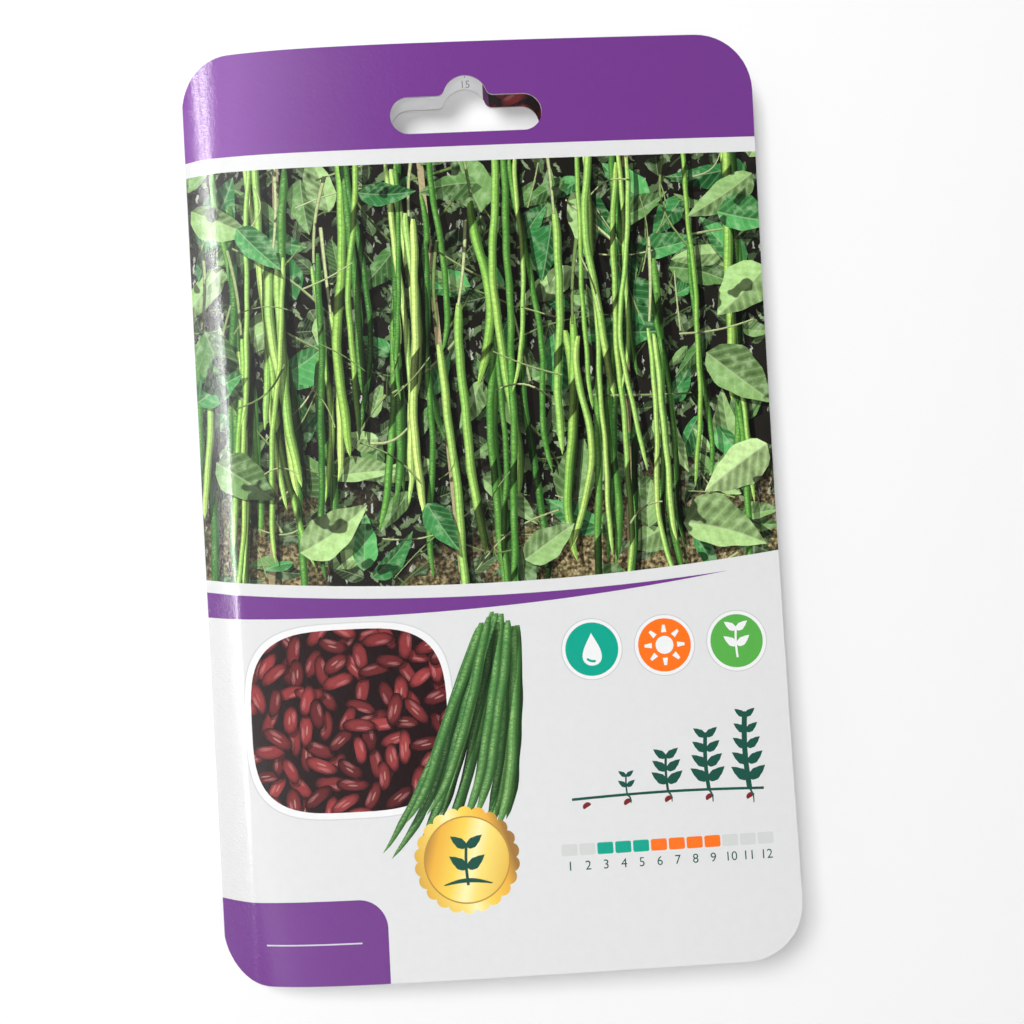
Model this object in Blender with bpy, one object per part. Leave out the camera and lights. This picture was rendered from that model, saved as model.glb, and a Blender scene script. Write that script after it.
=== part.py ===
"""A folded card seed packet lying on its back, with a foil sachet of bean seeds inside.

One sheet of glossy card is folded twice near its left edge, into a back panel, a narrow spine
strip and a front panel. Both panels have a hang slot at the top. The sachet lies between them,
glued to the back panel. +Y runs up the packet, +X to its right, and +Z out of the front.
"""

import math
import random

import bmesh
import bpy
import numpy as np

MM = 0.001

# Driving dimensions of the card, in metres
CARD_WIDTH = 122.0 * MM
CARD_LENGTH = 195.5 * MM
CARD_THICKNESS = 0.45 * MM
FREE_CORNER_RADIUS = 12.0 * MM
FOLD_CORNER_RADIUS = 11.0 * MM

# The two folds: the spine strip rises from the back panel's edge to the crease of the front panel
SPINE_WIDTH = 7.5 * MM
SPINE_START = 1.2 * MM
FOLD_HEIGHT = 0.35 * MM
SPINE_BULGE = 0.25 * MM
CREASE_HEIGHT = 4.8 * MM
CREASE_DROP = 0.9 * MM
CREASE_GAP = 0.4 * MM

# The front panel's soft bow: height above the surface at its middle, and how it tilts and curls
BOW_MIDDLE = 7.15 * MM
BOW_ACROSS = 1.0 * MM
BOW_ALONG = -1.35 * MM
BOW_TWIST = -0.95 * MM
BOW_CROWN = -0.7 * MM
BOW_CURL = 2.4 * MM
BOW_ROLL_LENGTH = 8.0 * MM

# The hang slot: a long slot with a rounded crown in the middle of its upper side
SLOT_CENTRE_X = -0.45 * MM
SLOT_CENTRE_Y = CARD_LENGTH / 2 - 15.1 * MM
SLOT_WIDTH = 32.0 * MM
SLOT_HEIGHT = 7.7 * MM
CROWN_RADIUS = 4.75 * MM
CROWN_RISE = -0.6 * MM
CROWN_FOOT_RADIUS = 1.6 * MM

# The sachet: two foil films, sealed all round
SACHET_WIDTH = 94.0 * MM
SACHET_LENGTH = 142.0 * MM
SACHET_CENTRE_Y = -13.0 * MM
SEAL_WIDTH = 7.0 * MM
FILM_THICKNESS = 0.12 * MM
PILLOW_HEIGHT = 4.7 * MM
PILLOW_RISE = 10.0 * MM
SACHET_CORNER_RADIUS = 1.5 * MM

# Glue between the sachet and the back panel
GLUE_WIDTH = 60.0 * MM
GLUE_DEPTH = 8.0 * MM
GLUE_THICKNESS = 0.2 * MM
GLUE_INSET = 16.0 * MM

# Pieces that touch keep this gap in the model
TOUCH_GAP = 0.1 * MM

# The seeds: kidney shapes in one loose layer, fused where they touch
SEED_LENGTH = 10.6 * MM
SEED_WIDTH = 6.2 * MM
SEED_HEIGHT = 4.0 * MM
SEED_BEND = 0.9 * MM
SEED_COLUMNS = 7
SEED_ROWS = 13
SEED_PITCH_X = 9.4 * MM
SEED_PITCH_Y = 5.45 * MM
SEED_CENTRE_Y = -27.0 * MM
SEED_TURN_DEG = 7.0
SEED_SHIFT = 0.25 * MM
SEED_SIDES = 6
SEED_RINGS = 4

# Sheets are made this much too large and then cut to their outline
TRIM = 1.0 * MM
CUTTER_REACH = 30.0 * MM

LEFT = -CARD_WIDTH / 2
RIGHT = CARD_WIDTH / 2
TOP = CARD_LENGTH / 2
BOTTOM = -CARD_LENGTH / 2
CREASE_X = LEFT + SPINE_WIDTH

GLUE_BOTTOM = CARD_THICKNESS + TOUCH_GAP
BACK_FILM_BOTTOM = GLUE_BOTTOM + GLUE_THICKNESS + TOUCH_GAP
FRONT_FILM_BOTTOM = BACK_FILM_BOTTOM + FILM_THICKNESS + TOUCH_GAP
SEED_BOTTOM = FRONT_FILM_BOTTOM


def clear_scene():
    """Remove every object, so that the script can run again."""
    for item in list(bpy.data.objects):
        bpy.data.objects.remove(item, do_unlink=True)


def make_material(name, colour, roughness, metallic=0.0):
    """One Principled material with the piece's own colour."""
    material = bpy.data.materials.new(name)
    material.use_nodes = True
    shader = material.node_tree.nodes["Principled BSDF"]
    shader.inputs["Base Color"].default_value = (*colour, 1.0)
    shader.inputs["Roughness"].default_value = roughness
    shader.inputs["Metallic"].default_value = metallic
    return material


def add_object(name, vertices, faces, material=None):
    """A mesh object in the scene's collection."""
    mesh = bpy.data.meshes.new(name)
    mesh.from_pydata([tuple(map(float, v)) for v in vertices], [], [tuple(map(int, f)) for f in faces])
    mesh.validate()
    item = bpy.data.objects.new(name, mesh)
    if material:
        mesh.materials.append(material)
    bpy.context.scene.collection.objects.link(item)
    return item


def arc(centre_x, centre_y, radius, start_deg, end_deg, steps):
    """Points on an arc, the end point included."""
    angles = np.radians(np.linspace(start_deg, end_deg, steps + 1))
    return [(centre_x + radius * math.cos(a), centre_y + radius * math.sin(a)) for a in angles]


def rounded_rectangle(left, right, bottom, top, left_radius, right_radius, steps=6):
    """Counter-clockwise outline with its own corner radius on each side."""
    points = []
    points += arc(left + left_radius, bottom + left_radius, left_radius, 180, 270, steps)
    points += arc(right - right_radius, bottom + right_radius, right_radius, 270, 360, steps)
    points += arc(right - right_radius, top - right_radius, right_radius, 0, 90, steps)
    points += arc(left + left_radius, top - left_radius, left_radius, 90, 180, steps)
    return points


def slot_outline():
    """The hang slot: round ends, and a half-round crown with its feet rounded into the upper side."""
    end_radius = SLOT_HEIGHT / 2
    straight = SLOT_WIDTH / 2 - end_radius
    upper = SLOT_CENTRE_Y + end_radius
    reach = CROWN_RADIUS + CROWN_FOOT_RADIUS
    lift = CROWN_FOOT_RADIUS - CROWN_RISE
    foot_x = math.sqrt(reach**2 - lift**2)
    lean = math.degrees(math.atan2(lift, foot_x))
    foot_y = upper + CROWN_FOOT_RADIUS
    cx = SLOT_CENTRE_X
    points = []
    points += arc(cx + straight, SLOT_CENTRE_Y, end_radius, -90, 90, 8)
    points += arc(cx + foot_x, foot_y, CROWN_FOOT_RADIUS, 270, 180 + lean, 4)
    points += arc(cx, upper + CROWN_RISE, CROWN_RADIUS, lean, 180 - lean, 10)[1:-1]
    points += arc(cx - foot_x, foot_y, CROWN_FOOT_RADIUS, -lean, -90, 4)
    points += arc(cx - straight, SLOT_CENTRE_Y, end_radius, 90, 270, 8)
    return points


def make_cutter(name, outline):
    """A prism of the outline, for a Boolean: never part of the object itself."""
    count = len(outline)
    low = [(x, y, -CUTTER_REACH) for x, y in outline]
    high = [(x, y, CUTTER_REACH) for x, y in outline]
    faces = [list(range(count))[::-1], list(range(count, 2 * count))]
    for i in range(count):
        j = (i + 1) % count
        faces.append([i, j, count + j, count + i])
    cutter = add_object(name, low + high, faces)
    cutter.hide_render = True
    cutter.display_type = "WIRE"
    return cutter


def add_boolean(item, cutter, operation):
    """A live Boolean with the exact solver."""
    modifier = item.modifiers.new(cutter.name, "BOOLEAN")
    modifier.operation = operation
    modifier.solver = "EXACT"
    modifier.object = cutter


def crease_height(y):
    """The crease falls in a straight line from the packet's foot to its top."""
    return CREASE_HEIGHT - CREASE_DROP * y / TOP


def spine_height(x, y):
    """Middle of the spine strip: straight from the fold to the crease, with a slight bulge."""
    along = (x - LEFT) / SPINE_WIDTH
    rise = crease_height(y) - FOLD_HEIGHT
    return FOLD_HEIGHT + rise * along + SPINE_BULGE * np.sin(np.pi * along)


def front_height(x, y):
    """Middle of the front panel: rolls up from the crease to a bowed, slightly curled plateau."""
    across = x / RIGHT
    along = y / TOP
    plateau = BOW_MIDDLE + BOW_ACROSS * across + BOW_ALONG * along + BOW_TWIST * across * along
    plateau = plateau + BOW_CROWN * across**2 + BOW_CURL * along**2
    roll = 1 - np.exp(-(x - CREASE_X) / BOW_ROLL_LENGTH)
    return crease_height(y) + (plateau - crease_height(y)) * roll


def sheet_solid(name, xs, ys, low, high, material):
    """A closed sheet on a grid, between two height fields low(x, y) and high(x, y)."""
    grid_x, grid_y = np.meshgrid(xs, ys)
    columns = len(xs)
    rows = len(ys)
    flat_x = grid_x.ravel()
    flat_y = grid_y.ravel()
    under = np.stack([flat_x, flat_y, low(flat_x, flat_y)], axis=1)
    upper = np.stack([flat_x, flat_y, high(flat_x, flat_y)], axis=1)
    count = columns * rows
    faces = []
    for r in range(rows - 1):
        for c in range(columns - 1):
            a = r * columns + c
            b = a + 1
            d = a + columns
            e = d + 1
            faces += [(count + a, count + b, count + e), (count + a, count + e, count + d)]
            faces += [(a, e, b), (a, d, e)]
    rim = [c for c in range(columns)]
    rim += [r * columns + columns - 1 for r in range(1, rows)]
    rim += [(rows - 1) * columns + c for c in range(columns - 2, -1, -1)]
    rim += [r * columns for r in range(rows - 2, 0, -1)]
    for i, a in enumerate(rim):
        b = rim[(i + 1) % len(rim)]
        faces += [(a, b, count + b), (a, count + b, count + a)]
    return add_object(name, np.concatenate([under, upper]), faces, material)


def card_solid(name, xs, ys, middle, material):
    """A card sheet of even thickness around its middle height field."""
    half = CARD_THICKNESS / 2
    return sheet_solid(name, xs, ys, lambda x, y: middle(x, y) - half,
                       lambda x, y: middle(x, y) + half, material)


def make_back_panel(outline_cutter, slot_cutter):
    """The flat panel that the packet lies on."""
    material = make_material("white_card", (0.85, 0.85, 0.84), 0.35)
    xs = np.array([LEFT - TRIM, RIGHT + TRIM])
    ys = np.array([BOTTOM - TRIM, TOP + TRIM])
    panel = card_solid("back_panel", xs, ys, lambda x, y: np.full_like(x, CARD_THICKNESS / 2), material)
    add_boolean(panel, outline_cutter, "INTERSECT")
    add_boolean(panel, slot_cutter, "DIFFERENCE")


def make_spine_strip(outline_cutter):
    """The narrow strip between the two folds."""
    material = make_material("spine_print", (0.32, 0.16, 0.42), 0.25)
    xs = np.linspace(LEFT + SPINE_START, CREASE_X - CREASE_GAP / 2, 5)
    ys = np.linspace(BOTTOM - TRIM, TOP + TRIM, 9)
    strip = card_solid("spine_strip", xs, ys, spine_height, material)
    add_boolean(strip, outline_cutter, "INTERSECT")


def make_front_panel(outline_cutter, slot_cutter):
    """The bowed front panel, its cells finest where it rolls up from the crease."""
    material = make_material("front_print", (0.24, 0.08, 0.33), 0.25)
    roll_end = CREASE_X + 3 * BOW_ROLL_LENGTH
    roll = np.linspace(CREASE_X + CREASE_GAP / 2, roll_end, 8)
    rest = np.linspace(roll_end, RIGHT + TRIM, 8)[1:]
    ys = np.linspace(BOTTOM - TRIM, TOP + TRIM, 13)
    panel = card_solid("front_panel", np.concatenate([roll, rest]), ys, front_height, material)
    add_boolean(panel, outline_cutter, "INTERSECT")
    add_boolean(panel, slot_cutter, "DIFFERENCE")


def pillow(x, y):
    """Rise of the sachet's front: zero at the seal, a smooth dome to a nearly flat top inside it."""
    side = SACHET_WIDTH / 2 - SEAL_WIDTH - np.abs(x)
    end = SACHET_LENGTH / 2 - SEAL_WIDTH - np.abs(y - SACHET_CENTRE_Y)
    side = np.clip(side / PILLOW_RISE, 0, 1)
    end = np.clip(end / PILLOW_RISE, 0, 1)
    return PILLOW_HEIGHT * np.sin(side * np.pi / 2) ** 0.8 * np.sin(end * np.pi / 2) ** 0.8


def sachet_lines(half, centre):
    """Grid lines across the sachet: past its edge, the seal, a fine rise, and a coarse middle."""
    inner = half - SEAL_WIDTH
    rise = inner - PILLOW_RISE * np.array([0.0, 0.12, 0.3, 0.6, 1.0])
    right = np.concatenate([[half + TRIM], rise, [rise[-1] / 2]])
    return centre + np.concatenate([-right, [0.0], right[::-1]])


def make_sachet():
    """Two foil films that meet in a flat seal all round."""
    material = make_material("foil", (0.78, 0.79, 0.8), 0.3, 1.0)
    half_width = SACHET_WIDTH / 2
    half_length = SACHET_LENGTH / 2
    xs = sachet_lines(half_width, 0.0)
    ys = sachet_lines(half_length, SACHET_CENTRE_Y)
    outline = rounded_rectangle(-half_width, half_width, SACHET_CENTRE_Y - half_length,
                                SACHET_CENTRE_Y + half_length, SACHET_CORNER_RADIUS,
                                SACHET_CORNER_RADIUS, 3)
    cutter = make_cutter("cut_sachet", outline)
    back = sheet_solid("sachet_back_film", xs[[0, -1]], ys[[0, -1]],
                       lambda x, y: np.full_like(x, BACK_FILM_BOTTOM),
                       lambda x, y: np.full_like(x, BACK_FILM_BOTTOM + FILM_THICKNESS), material)
    front = sheet_solid("sachet_front_film", xs, ys, lambda x, y: FRONT_FILM_BOTTOM + pillow(x, y),
                        lambda x, y: FRONT_FILM_BOTTOM + FILM_THICKNESS + pillow(x, y), material)
    add_boolean(back, cutter, "INTERSECT")
    add_boolean(front, cutter, "INTERSECT")


def make_glue_strip(name, centre_y):
    """A strip of clear glue that holds the sachet to the back panel."""
    material = make_material(name, (0.75, 0.72, 0.62), 0.4)
    xs = np.array([-GLUE_WIDTH / 2, GLUE_WIDTH / 2])
    ys = np.array([centre_y - GLUE_DEPTH / 2, centre_y + GLUE_DEPTH / 2])
    sheet_solid(name, xs, ys, lambda x, y: np.full_like(x, GLUE_BOTTOM),
                lambda x, y: np.full_like(x, GLUE_BOTTOM + GLUE_THICKNESS), material)


def seed_points(centre_x, centre_y, turn):
    """One kidney seed: an ellipsoid whose middle is pushed to one side."""
    points = []
    for ring in range(1, SEED_RINGS):
        polar = math.pi * ring / SEED_RINGS
        along = -SEED_LENGTH / 2 * math.cos(polar)
        across = math.sin(polar)
        for side in range(SEED_SIDES):
            angle = 2 * math.pi * side / SEED_SIDES
            points.append((along, SEED_WIDTH / 2 * across * math.cos(angle),
                           SEED_HEIGHT / 2 * across * math.sin(angle)))
    points.append((-SEED_LENGTH / 2, 0.0, 0.0))
    points.append((SEED_LENGTH / 2, 0.0, 0.0))
    placed = []
    for along, across, height in points:
        across += SEED_BEND * (0.5 - (2 * along / SEED_LENGTH) ** 2)
        x = centre_x + along * math.cos(turn) - across * math.sin(turn)
        y = centre_y + along * math.sin(turn) + across * math.cos(turn)
        placed.append((x, y, SEED_BOTTOM + SEED_HEIGHT / 2 + height))
    return placed


def seed_faces():
    """Bands between the rings, closed by a fan at each tip."""
    faces = []
    for ring in range(SEED_RINGS - 2):
        for side in range(SEED_SIDES):
            a = ring * SEED_SIDES + side
            b = ring * SEED_SIDES + (side + 1) % SEED_SIDES
            faces.append((a, a + SEED_SIDES, b + SEED_SIDES, b))
    start_tip = (SEED_RINGS - 1) * SEED_SIDES
    last = (SEED_RINGS - 2) * SEED_SIDES
    for side in range(SEED_SIDES):
        after = (side + 1) % SEED_SIDES
        faces.append((start_tip, side, after))
        faces.append((start_tip + 1, last + after, last + side))
    return faces


def make_seeds():
    """A loose layer of seeds in staggered rows, fused where they touch."""
    material = make_material("seed_skin", (0.22, 0.03, 0.03), 0.4)
    draw = random.Random(7)
    gathered = bpy.data.collections.new("loose_seeds")
    bpy.context.scene.collection.children.link(gathered)
    first = None
    for row in range(SEED_ROWS):
        shift = SEED_PITCH_X / 2 * (row % 2) - SEED_PITCH_X / 4
        for column in range(SEED_COLUMNS):
            x = (column - (SEED_COLUMNS - 1) / 2) * SEED_PITCH_X + shift
            y = SEED_CENTRE_Y + (row - (SEED_ROWS - 1) / 2) * SEED_PITCH_Y
            x += draw.uniform(-SEED_SHIFT, SEED_SHIFT)
            y += draw.uniform(-SEED_SHIFT, SEED_SHIFT)
            turn = math.radians(draw.uniform(-SEED_TURN_DEG, SEED_TURN_DEG))
            seed = add_object("seed", seed_points(x, y, turn), seed_faces(), material)
            if first is None:
                first = seed
                continue
            bpy.context.scene.collection.objects.unlink(seed)
            gathered.objects.link(seed)
    fuse_collection(first, gathered)
    first.name = "seed_fill"


def fuse_collection(item, gathered):
    """Union the object with a collection, apply it, and drop the collection's objects."""
    modifier = item.modifiers.new("fuse", "BOOLEAN")
    modifier.operation = "UNION"
    modifier.solver = "EXACT"
    modifier.operand_type = "COLLECTION"
    modifier.collection = gathered
    bpy.context.view_layer.update()
    evaluated = item.evaluated_get(bpy.context.evaluated_depsgraph_get())
    fused = bpy.data.meshes.new_from_object(evaluated)
    item.modifiers.clear()
    item.data = fused
    for other in list(gathered.objects):
        bpy.data.objects.remove(other, do_unlink=True)
    bpy.data.collections.remove(gathered)
    weld(fused)


def weld(mesh):
    """Merge points closer than a thousandth of a millimetre and split every face into triangles."""
    work = bmesh.new()
    work.from_mesh(mesh)
    bmesh.ops.remove_doubles(work, verts=work.verts, dist=0.001 * MM)
    bmesh.ops.triangulate(work, faces=work.faces)
    work.to_mesh(mesh)
    work.free()


clear_scene()
card_outline = rounded_rectangle(LEFT, RIGHT, BOTTOM, TOP, FOLD_CORNER_RADIUS, FREE_CORNER_RADIUS)
card_cutter = make_cutter("cut_card", card_outline)
hang_cutter = make_cutter("cut_hang_slot", slot_outline())
make_back_panel(card_cutter, hang_cutter)
make_spine_strip(card_cutter)
make_front_panel(card_cutter, hang_cutter)
make_sachet()
sachet_low = SACHET_CENTRE_Y - SACHET_LENGTH / 2
sachet_high = SACHET_CENTRE_Y + SACHET_LENGTH / 2
make_glue_strip("glue_strip_lower", sachet_low + GLUE_INSET)
make_glue_strip("glue_strip_upper", sachet_high - GLUE_INSET)
make_seeds()
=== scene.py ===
import itertools
import math

import bpy
import numpy as np
from mathutils import Matrix, Vector
from mathutils.geometry import delaunay_2d_cdt


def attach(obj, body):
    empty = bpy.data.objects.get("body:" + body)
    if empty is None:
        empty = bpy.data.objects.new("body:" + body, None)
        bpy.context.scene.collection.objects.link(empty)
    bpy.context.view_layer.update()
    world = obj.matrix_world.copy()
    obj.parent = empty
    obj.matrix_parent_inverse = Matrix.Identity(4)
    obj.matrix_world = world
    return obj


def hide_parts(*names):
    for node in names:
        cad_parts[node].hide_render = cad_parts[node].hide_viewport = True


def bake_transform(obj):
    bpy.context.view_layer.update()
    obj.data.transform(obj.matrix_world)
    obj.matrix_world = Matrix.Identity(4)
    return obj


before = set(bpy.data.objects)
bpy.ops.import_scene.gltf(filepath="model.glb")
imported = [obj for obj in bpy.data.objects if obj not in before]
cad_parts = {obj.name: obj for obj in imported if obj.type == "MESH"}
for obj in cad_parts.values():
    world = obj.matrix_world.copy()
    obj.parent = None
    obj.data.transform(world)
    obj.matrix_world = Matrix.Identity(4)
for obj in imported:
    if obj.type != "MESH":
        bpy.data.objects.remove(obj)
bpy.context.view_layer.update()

MM = 0.001

# The table the packet lies on: a white sheet in a light tent. A wide soft box and a ceiling panel
# give the even light and the soft shadow. Four screens that brighten to the left give the sheen
# that fades over the gloss, and a strip light low on the left draws the line along the bend.

CAMERA_PLACE = (-7.20, -3.72, 241.56)
CAMERA_TURN_DEG = (0.63, -2.90, -3.03)
CAMERA_LENS = 39.09
FLOOR_HALF = 4.0


def camera_matrix():
    """Turn about Y first, then X, then Z, and then move to the camera's place."""
    turn_x, turn_y, turn_z = (math.radians(angle) for angle in CAMERA_TURN_DEG)
    turn = Matrix.Rotation(turn_z, 4, "Z") @ Matrix.Rotation(turn_x, 4, "X")
    turn = turn @ Matrix.Rotation(turn_y, 4, "Y")
    return Matrix.Translation(Vector(CAMERA_PLACE) * MM) @ turn


def soft_light(name, place, aim, size, power, gloss_only=False):
    """A rectangular soft box at a place, facing its aim; it lights either the gloss or all the rest."""
    data = bpy.data.lights.new(name, "AREA")
    data.shape = "RECTANGLE"
    data.size, data.size_y = size
    data.energy = power
    lamp = bpy.data.objects.new(name, data)
    bpy.context.scene.collection.objects.link(lamp)
    look = (Vector(aim) - Vector(place)).normalized()
    side = Vector((0, 1, 0)).cross(-look).normalized()
    up = (-look).cross(side)
    turn = Matrix((side, up, -look)).transposed().to_4x4()
    lamp.matrix_world = Matrix.Translation(place) @ turn
    lamp.visible_glossy = gloss_only
    lamp.visible_diffuse = not gloss_only


camera_data = bpy.data.cameras.new("camera")
camera_data.lens = CAMERA_LENS
camera_data.sensor_width = 36.0
camera_data.sensor_fit = "HORIZONTAL"
camera_data.clip_start = 0.01
camera = bpy.data.objects.new("camera", camera_data)
bpy.context.scene.collection.objects.link(camera)
camera.matrix_world = camera_matrix()
bpy.context.scene.camera = camera
bpy.context.scene.view_settings.view_transform = "Standard"

soft_light("upper_softbox", (-0.42, 0.46, 1.00), (0, 0, 0), (0.46, 0.46), 10.2)
soft_light("ceiling_panel", (-0.08, -0.36, 1.15), (0, 0, 0), (0.60, 0.40), 3.3)
SCREEN_WIDE, SCREEN_TALL = 0.17, 1.30
for x, z, radiance in ((-0.16, 1.02, 0.2), (-0.31, 0.98, 0.5), (-0.46, 0.92, 1.0), (-0.62, 0.84, 2.2)):
    power = radiance * math.pi * SCREEN_WIDE * SCREEN_TALL
    soft_light("left_screen", (x, 0.10, z), (0, 0, 0), (SCREEN_WIDE, SCREEN_TALL), power, True)
soft_light("bend_strip", (-0.76, 0.16, 0.50), (-0.05, 0.02, 0), (0.14, 0.80), 13.5, True)

world = bpy.data.worlds.new("light_tent")
world.use_nodes = True
tent = world.node_tree
direction = tent.nodes.new("ShaderNodeTexCoord")
height = tent.nodes.new("ShaderNodeSeparateXYZ")
brightness = tent.nodes.new("ShaderNodeMapRange")
brightness.interpolation_type = "SMOOTHSTEP"
for socket, value in (("From Min", 0.60), ("From Max", 0.95), ("To Min", 0.45), ("To Max", 0.12)):
    brightness.inputs[socket].default_value = value
tent.links.new(direction.outputs["Generated"], height.inputs[0])
tent.links.new(height.outputs["Z"], brightness.inputs["Value"])
tent.links.new(brightness.outputs["Result"], tent.nodes["Background"].inputs["Strength"])
tent.nodes["Background"].inputs["Color"].default_value = (0.985, 0.99, 1.0, 1.0)
bpy.context.scene.world = world

floor_mesh = bpy.data.meshes.new("floor")
floor_corners = [(-1, -1), (1, -1), (1, 1), (-1, 1)]
floor_mesh.from_pydata([(x * FLOOR_HALF, y * FLOOR_HALF, 0.0) for x, y in floor_corners], [], [(0, 1, 2, 3)])
floor = bpy.data.objects.new("floor", floor_mesh)
bpy.context.scene.collection.objects.link(floor)
floor_material = bpy.data.materials.new("table_white")
floor_material.use_nodes = True
floor_shader = floor_material.node_tree.nodes["Principled BSDF"]
floor_shader.inputs["Base Color"].default_value = (0.90, 0.90, 0.90, 1.0)
floor_shader.inputs["Roughness"].default_value = 0.6
clear = floor_material.node_tree.nodes.new("ShaderNodeBsdfTransparent")
facing = floor_material.node_tree.nodes.new("ShaderNodeNewGeometry")
from_below = floor_material.node_tree.nodes.new("ShaderNodeMixShader")
floor_links = floor_material.node_tree.links
floor_links.new(facing.outputs["Backfacing"], from_below.inputs[0])
floor_links.new(floor_shader.outputs[0], from_below.inputs[1])
floor_links.new(clear.outputs[0], from_below.inputs[2])
floor_links.new(from_below.outputs[0], floor_material.node_tree.nodes["Material Output"].inputs[0])
floor_mesh.materials.append(floor_material)
floor.visible_shadow = False

# The flat sheet. Front, spine strip and back panel are one piece of card, printed flat on both
# sides and then cut. Every printed shape is an outline in millimetres, later ones lie over earlier
# ones, and the front's print starts just round the fold. Nothing smaller than a speck is printed.

CARD_WIDTH = 122.0
CARD_LENGTH = 195.5
FREE_CORNER = 12.0
FOLD_CORNER = 11.0
LEFT = -CARD_WIDTH / 2
RIGHT = CARD_WIDTH / 2
TOP = CARD_LENGTH / 2
BOTTOM = -CARD_LENGTH / 2
FRONT_START = LEFT - 0.4
SPECK = 0.004
SLOT_X = -0.45
SLOT_Y = TOP - 15.1
SLOT_WIDTH = 32.0
SLOT_HEIGHT = 7.7
CROWN_RADIUS = 4.75
CROWN_RISE = -0.6
CROWN_FOOT = 1.6


def signed_area(ring):
    """Half the sum of the cross products of neighbouring points: positive if counter-clockwise."""
    x, y = ring[:, 0], ring[:, 1]
    return 0.5 * np.sum(x * np.roll(y, -1) - y * np.roll(x, -1))


def finer(ring, longest=3.5):
    """The same ring with points between, so that no side is longer than the limit."""
    after = np.roll(ring, -1, axis=0)
    parts = np.maximum(np.ceil(np.linalg.norm(after - ring, axis=1) / longest), 1).astype(int)
    start = np.repeat(np.arange(len(ring)), parts)
    share = (np.arange(len(start)) - np.repeat(np.cumsum(parts) - parts, parts)) / parts[start]
    return ring[start] + (after - ring)[start] * share[:, None]


class FlatSheet:
    """All shapes printed on the flat sheet, and the rings that bound them."""

    def __init__(self):
        self.rings, self.owners, self.motifs = [], [], []

    def add(self, rings, side, ink, colour=(1, 1, 1), local=None, chance=0.5, shade=None):
        """One printed shape. Its rings are in (x, y) of the opened packet, seen from that side.

        The outer side has the front at x from LEFT to RIGHT and the back panel left of it. The
        inner side has the back panel there and the front panel left of it.
        """
        for ring in rings:
            ring = np.asarray(ring, float)
            across = ring[:, 0] - LEFT
            flat = np.stack([across if side == "outer" else -across, ring[:, 1]], axis=1)
            flat = flat[np.linalg.norm(flat - np.roll(flat, 1, axis=0), axis=1) > SPECK]
            flat = finer(flat)
            if len(flat) < 3 or abs(signed_area(flat)) < SPECK:
                continue
            if signed_area(flat) < 0:
                flat = flat[::-1]
            self.rings.append(flat)
            self.owners.append(len(self.motifs))
        self.motifs.append(dict(side=side, ink=ink, colour=colour, local=local, chance=chance, shade=shade))


def arc(centre_x, centre_y, radius, start_deg, end_deg, steps):
    """Points on a circle from one angle to another, both ends included."""
    angles = np.radians(np.linspace(start_deg, end_deg, steps + 1))
    return np.stack([centre_x + radius * np.cos(angles), centre_y + radius * np.sin(angles)], axis=1)


def box_ring(left, low, right, high, radius=0.0):
    """A box, with rounded corners if the radius is not nothing."""
    if not radius:
        return np.array([(left, low), (right, low), (right, high), (left, high)], float)
    return np.concatenate([
        arc(right - radius, high - radius, radius, 0, 90, 6),
        arc(left + radius, high - radius, radius, 90, 180, 6),
        arc(left + radius, low + radius, radius, 180, 270, 6),
        arc(right - radius, low + radius, radius, 270, 360, 6),
    ])


def slot_ring():
    """The hang slot: round ends, and a half-round crown with its feet rounded into the upper side."""
    end = SLOT_HEIGHT / 2
    straight = SLOT_WIDTH / 2 - end
    upper = SLOT_Y + end
    lift = CROWN_FOOT - CROWN_RISE
    foot_x = math.sqrt((CROWN_RADIUS + CROWN_FOOT) ** 2 - lift**2)
    lean = math.degrees(math.atan2(lift, foot_x))
    return np.concatenate([
        arc(SLOT_X + straight, SLOT_Y, end, -90, 90, 16),
        arc(SLOT_X + foot_x, upper + CROWN_FOOT, CROWN_FOOT, 270, 180 + lean, 6),
        arc(SLOT_X, upper + CROWN_RISE, CROWN_RADIUS, lean, 180 - lean, 24)[1:-1],
        arc(SLOT_X - foot_x, upper + CROWN_FOOT, CROWN_FOOT, -lean, -90, 6),
        arc(SLOT_X - straight, SLOT_Y, end, 90, 270, 16),
    ])


def sheet_ring():
    """The outline of the flat sheet: free corners far out, and a rounded notch at the fold."""
    half = [
        arc(RIGHT - FREE_CORNER, BOTTOM + FREE_CORNER, FREE_CORNER, 270, 360, 12),
        arc(RIGHT - FREE_CORNER, TOP - FREE_CORNER, FREE_CORNER, 0, 90, 12),
        arc(LEFT + FOLD_CORNER, TOP - FOLD_CORNER, FOLD_CORNER, 90, 180, 14),
    ]
    right_half = np.concatenate(half)
    left_half = np.stack([2 * LEFT - right_half[::-1, 0], right_half[::-1, 1]], axis=1)
    foot = arc(LEFT + FOLD_CORNER, BOTTOM + FOLD_CORNER, FOLD_CORNER, 180, 270, 14)
    left_foot = np.stack([2 * LEFT - foot[::-1, 0], foot[::-1, 1]], axis=1)
    return np.concatenate([foot[1:], right_half, left_half[1:], left_foot])


sheet = FlatSheet()
WHITE = (0.72, 0.725, 0.72)
INNER_WHITE = (0.90, 0.90, 0.905)
sheet.add([sheet_ring()], "outer", "plain", WHITE)
sheet.add([sheet_ring()], "inner", "plain", INNER_WHITE)
slot = slot_ring()
back_slot = np.stack([2 * LEFT - slot[:, 0], slot[:, 1]], axis=1)
sheet.add([slot, back_slot], "outer", "hole")

# The picture on the front: a row of climbing beans against dark earth. Leaves, canes, stems and
# pods lie in layers from the back to the front, each with the shadow that it throws.

PICTURE_LOW = -21.0
PICTURE_HIGH = 76.0
draw = np.random.default_rng(41)


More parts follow.
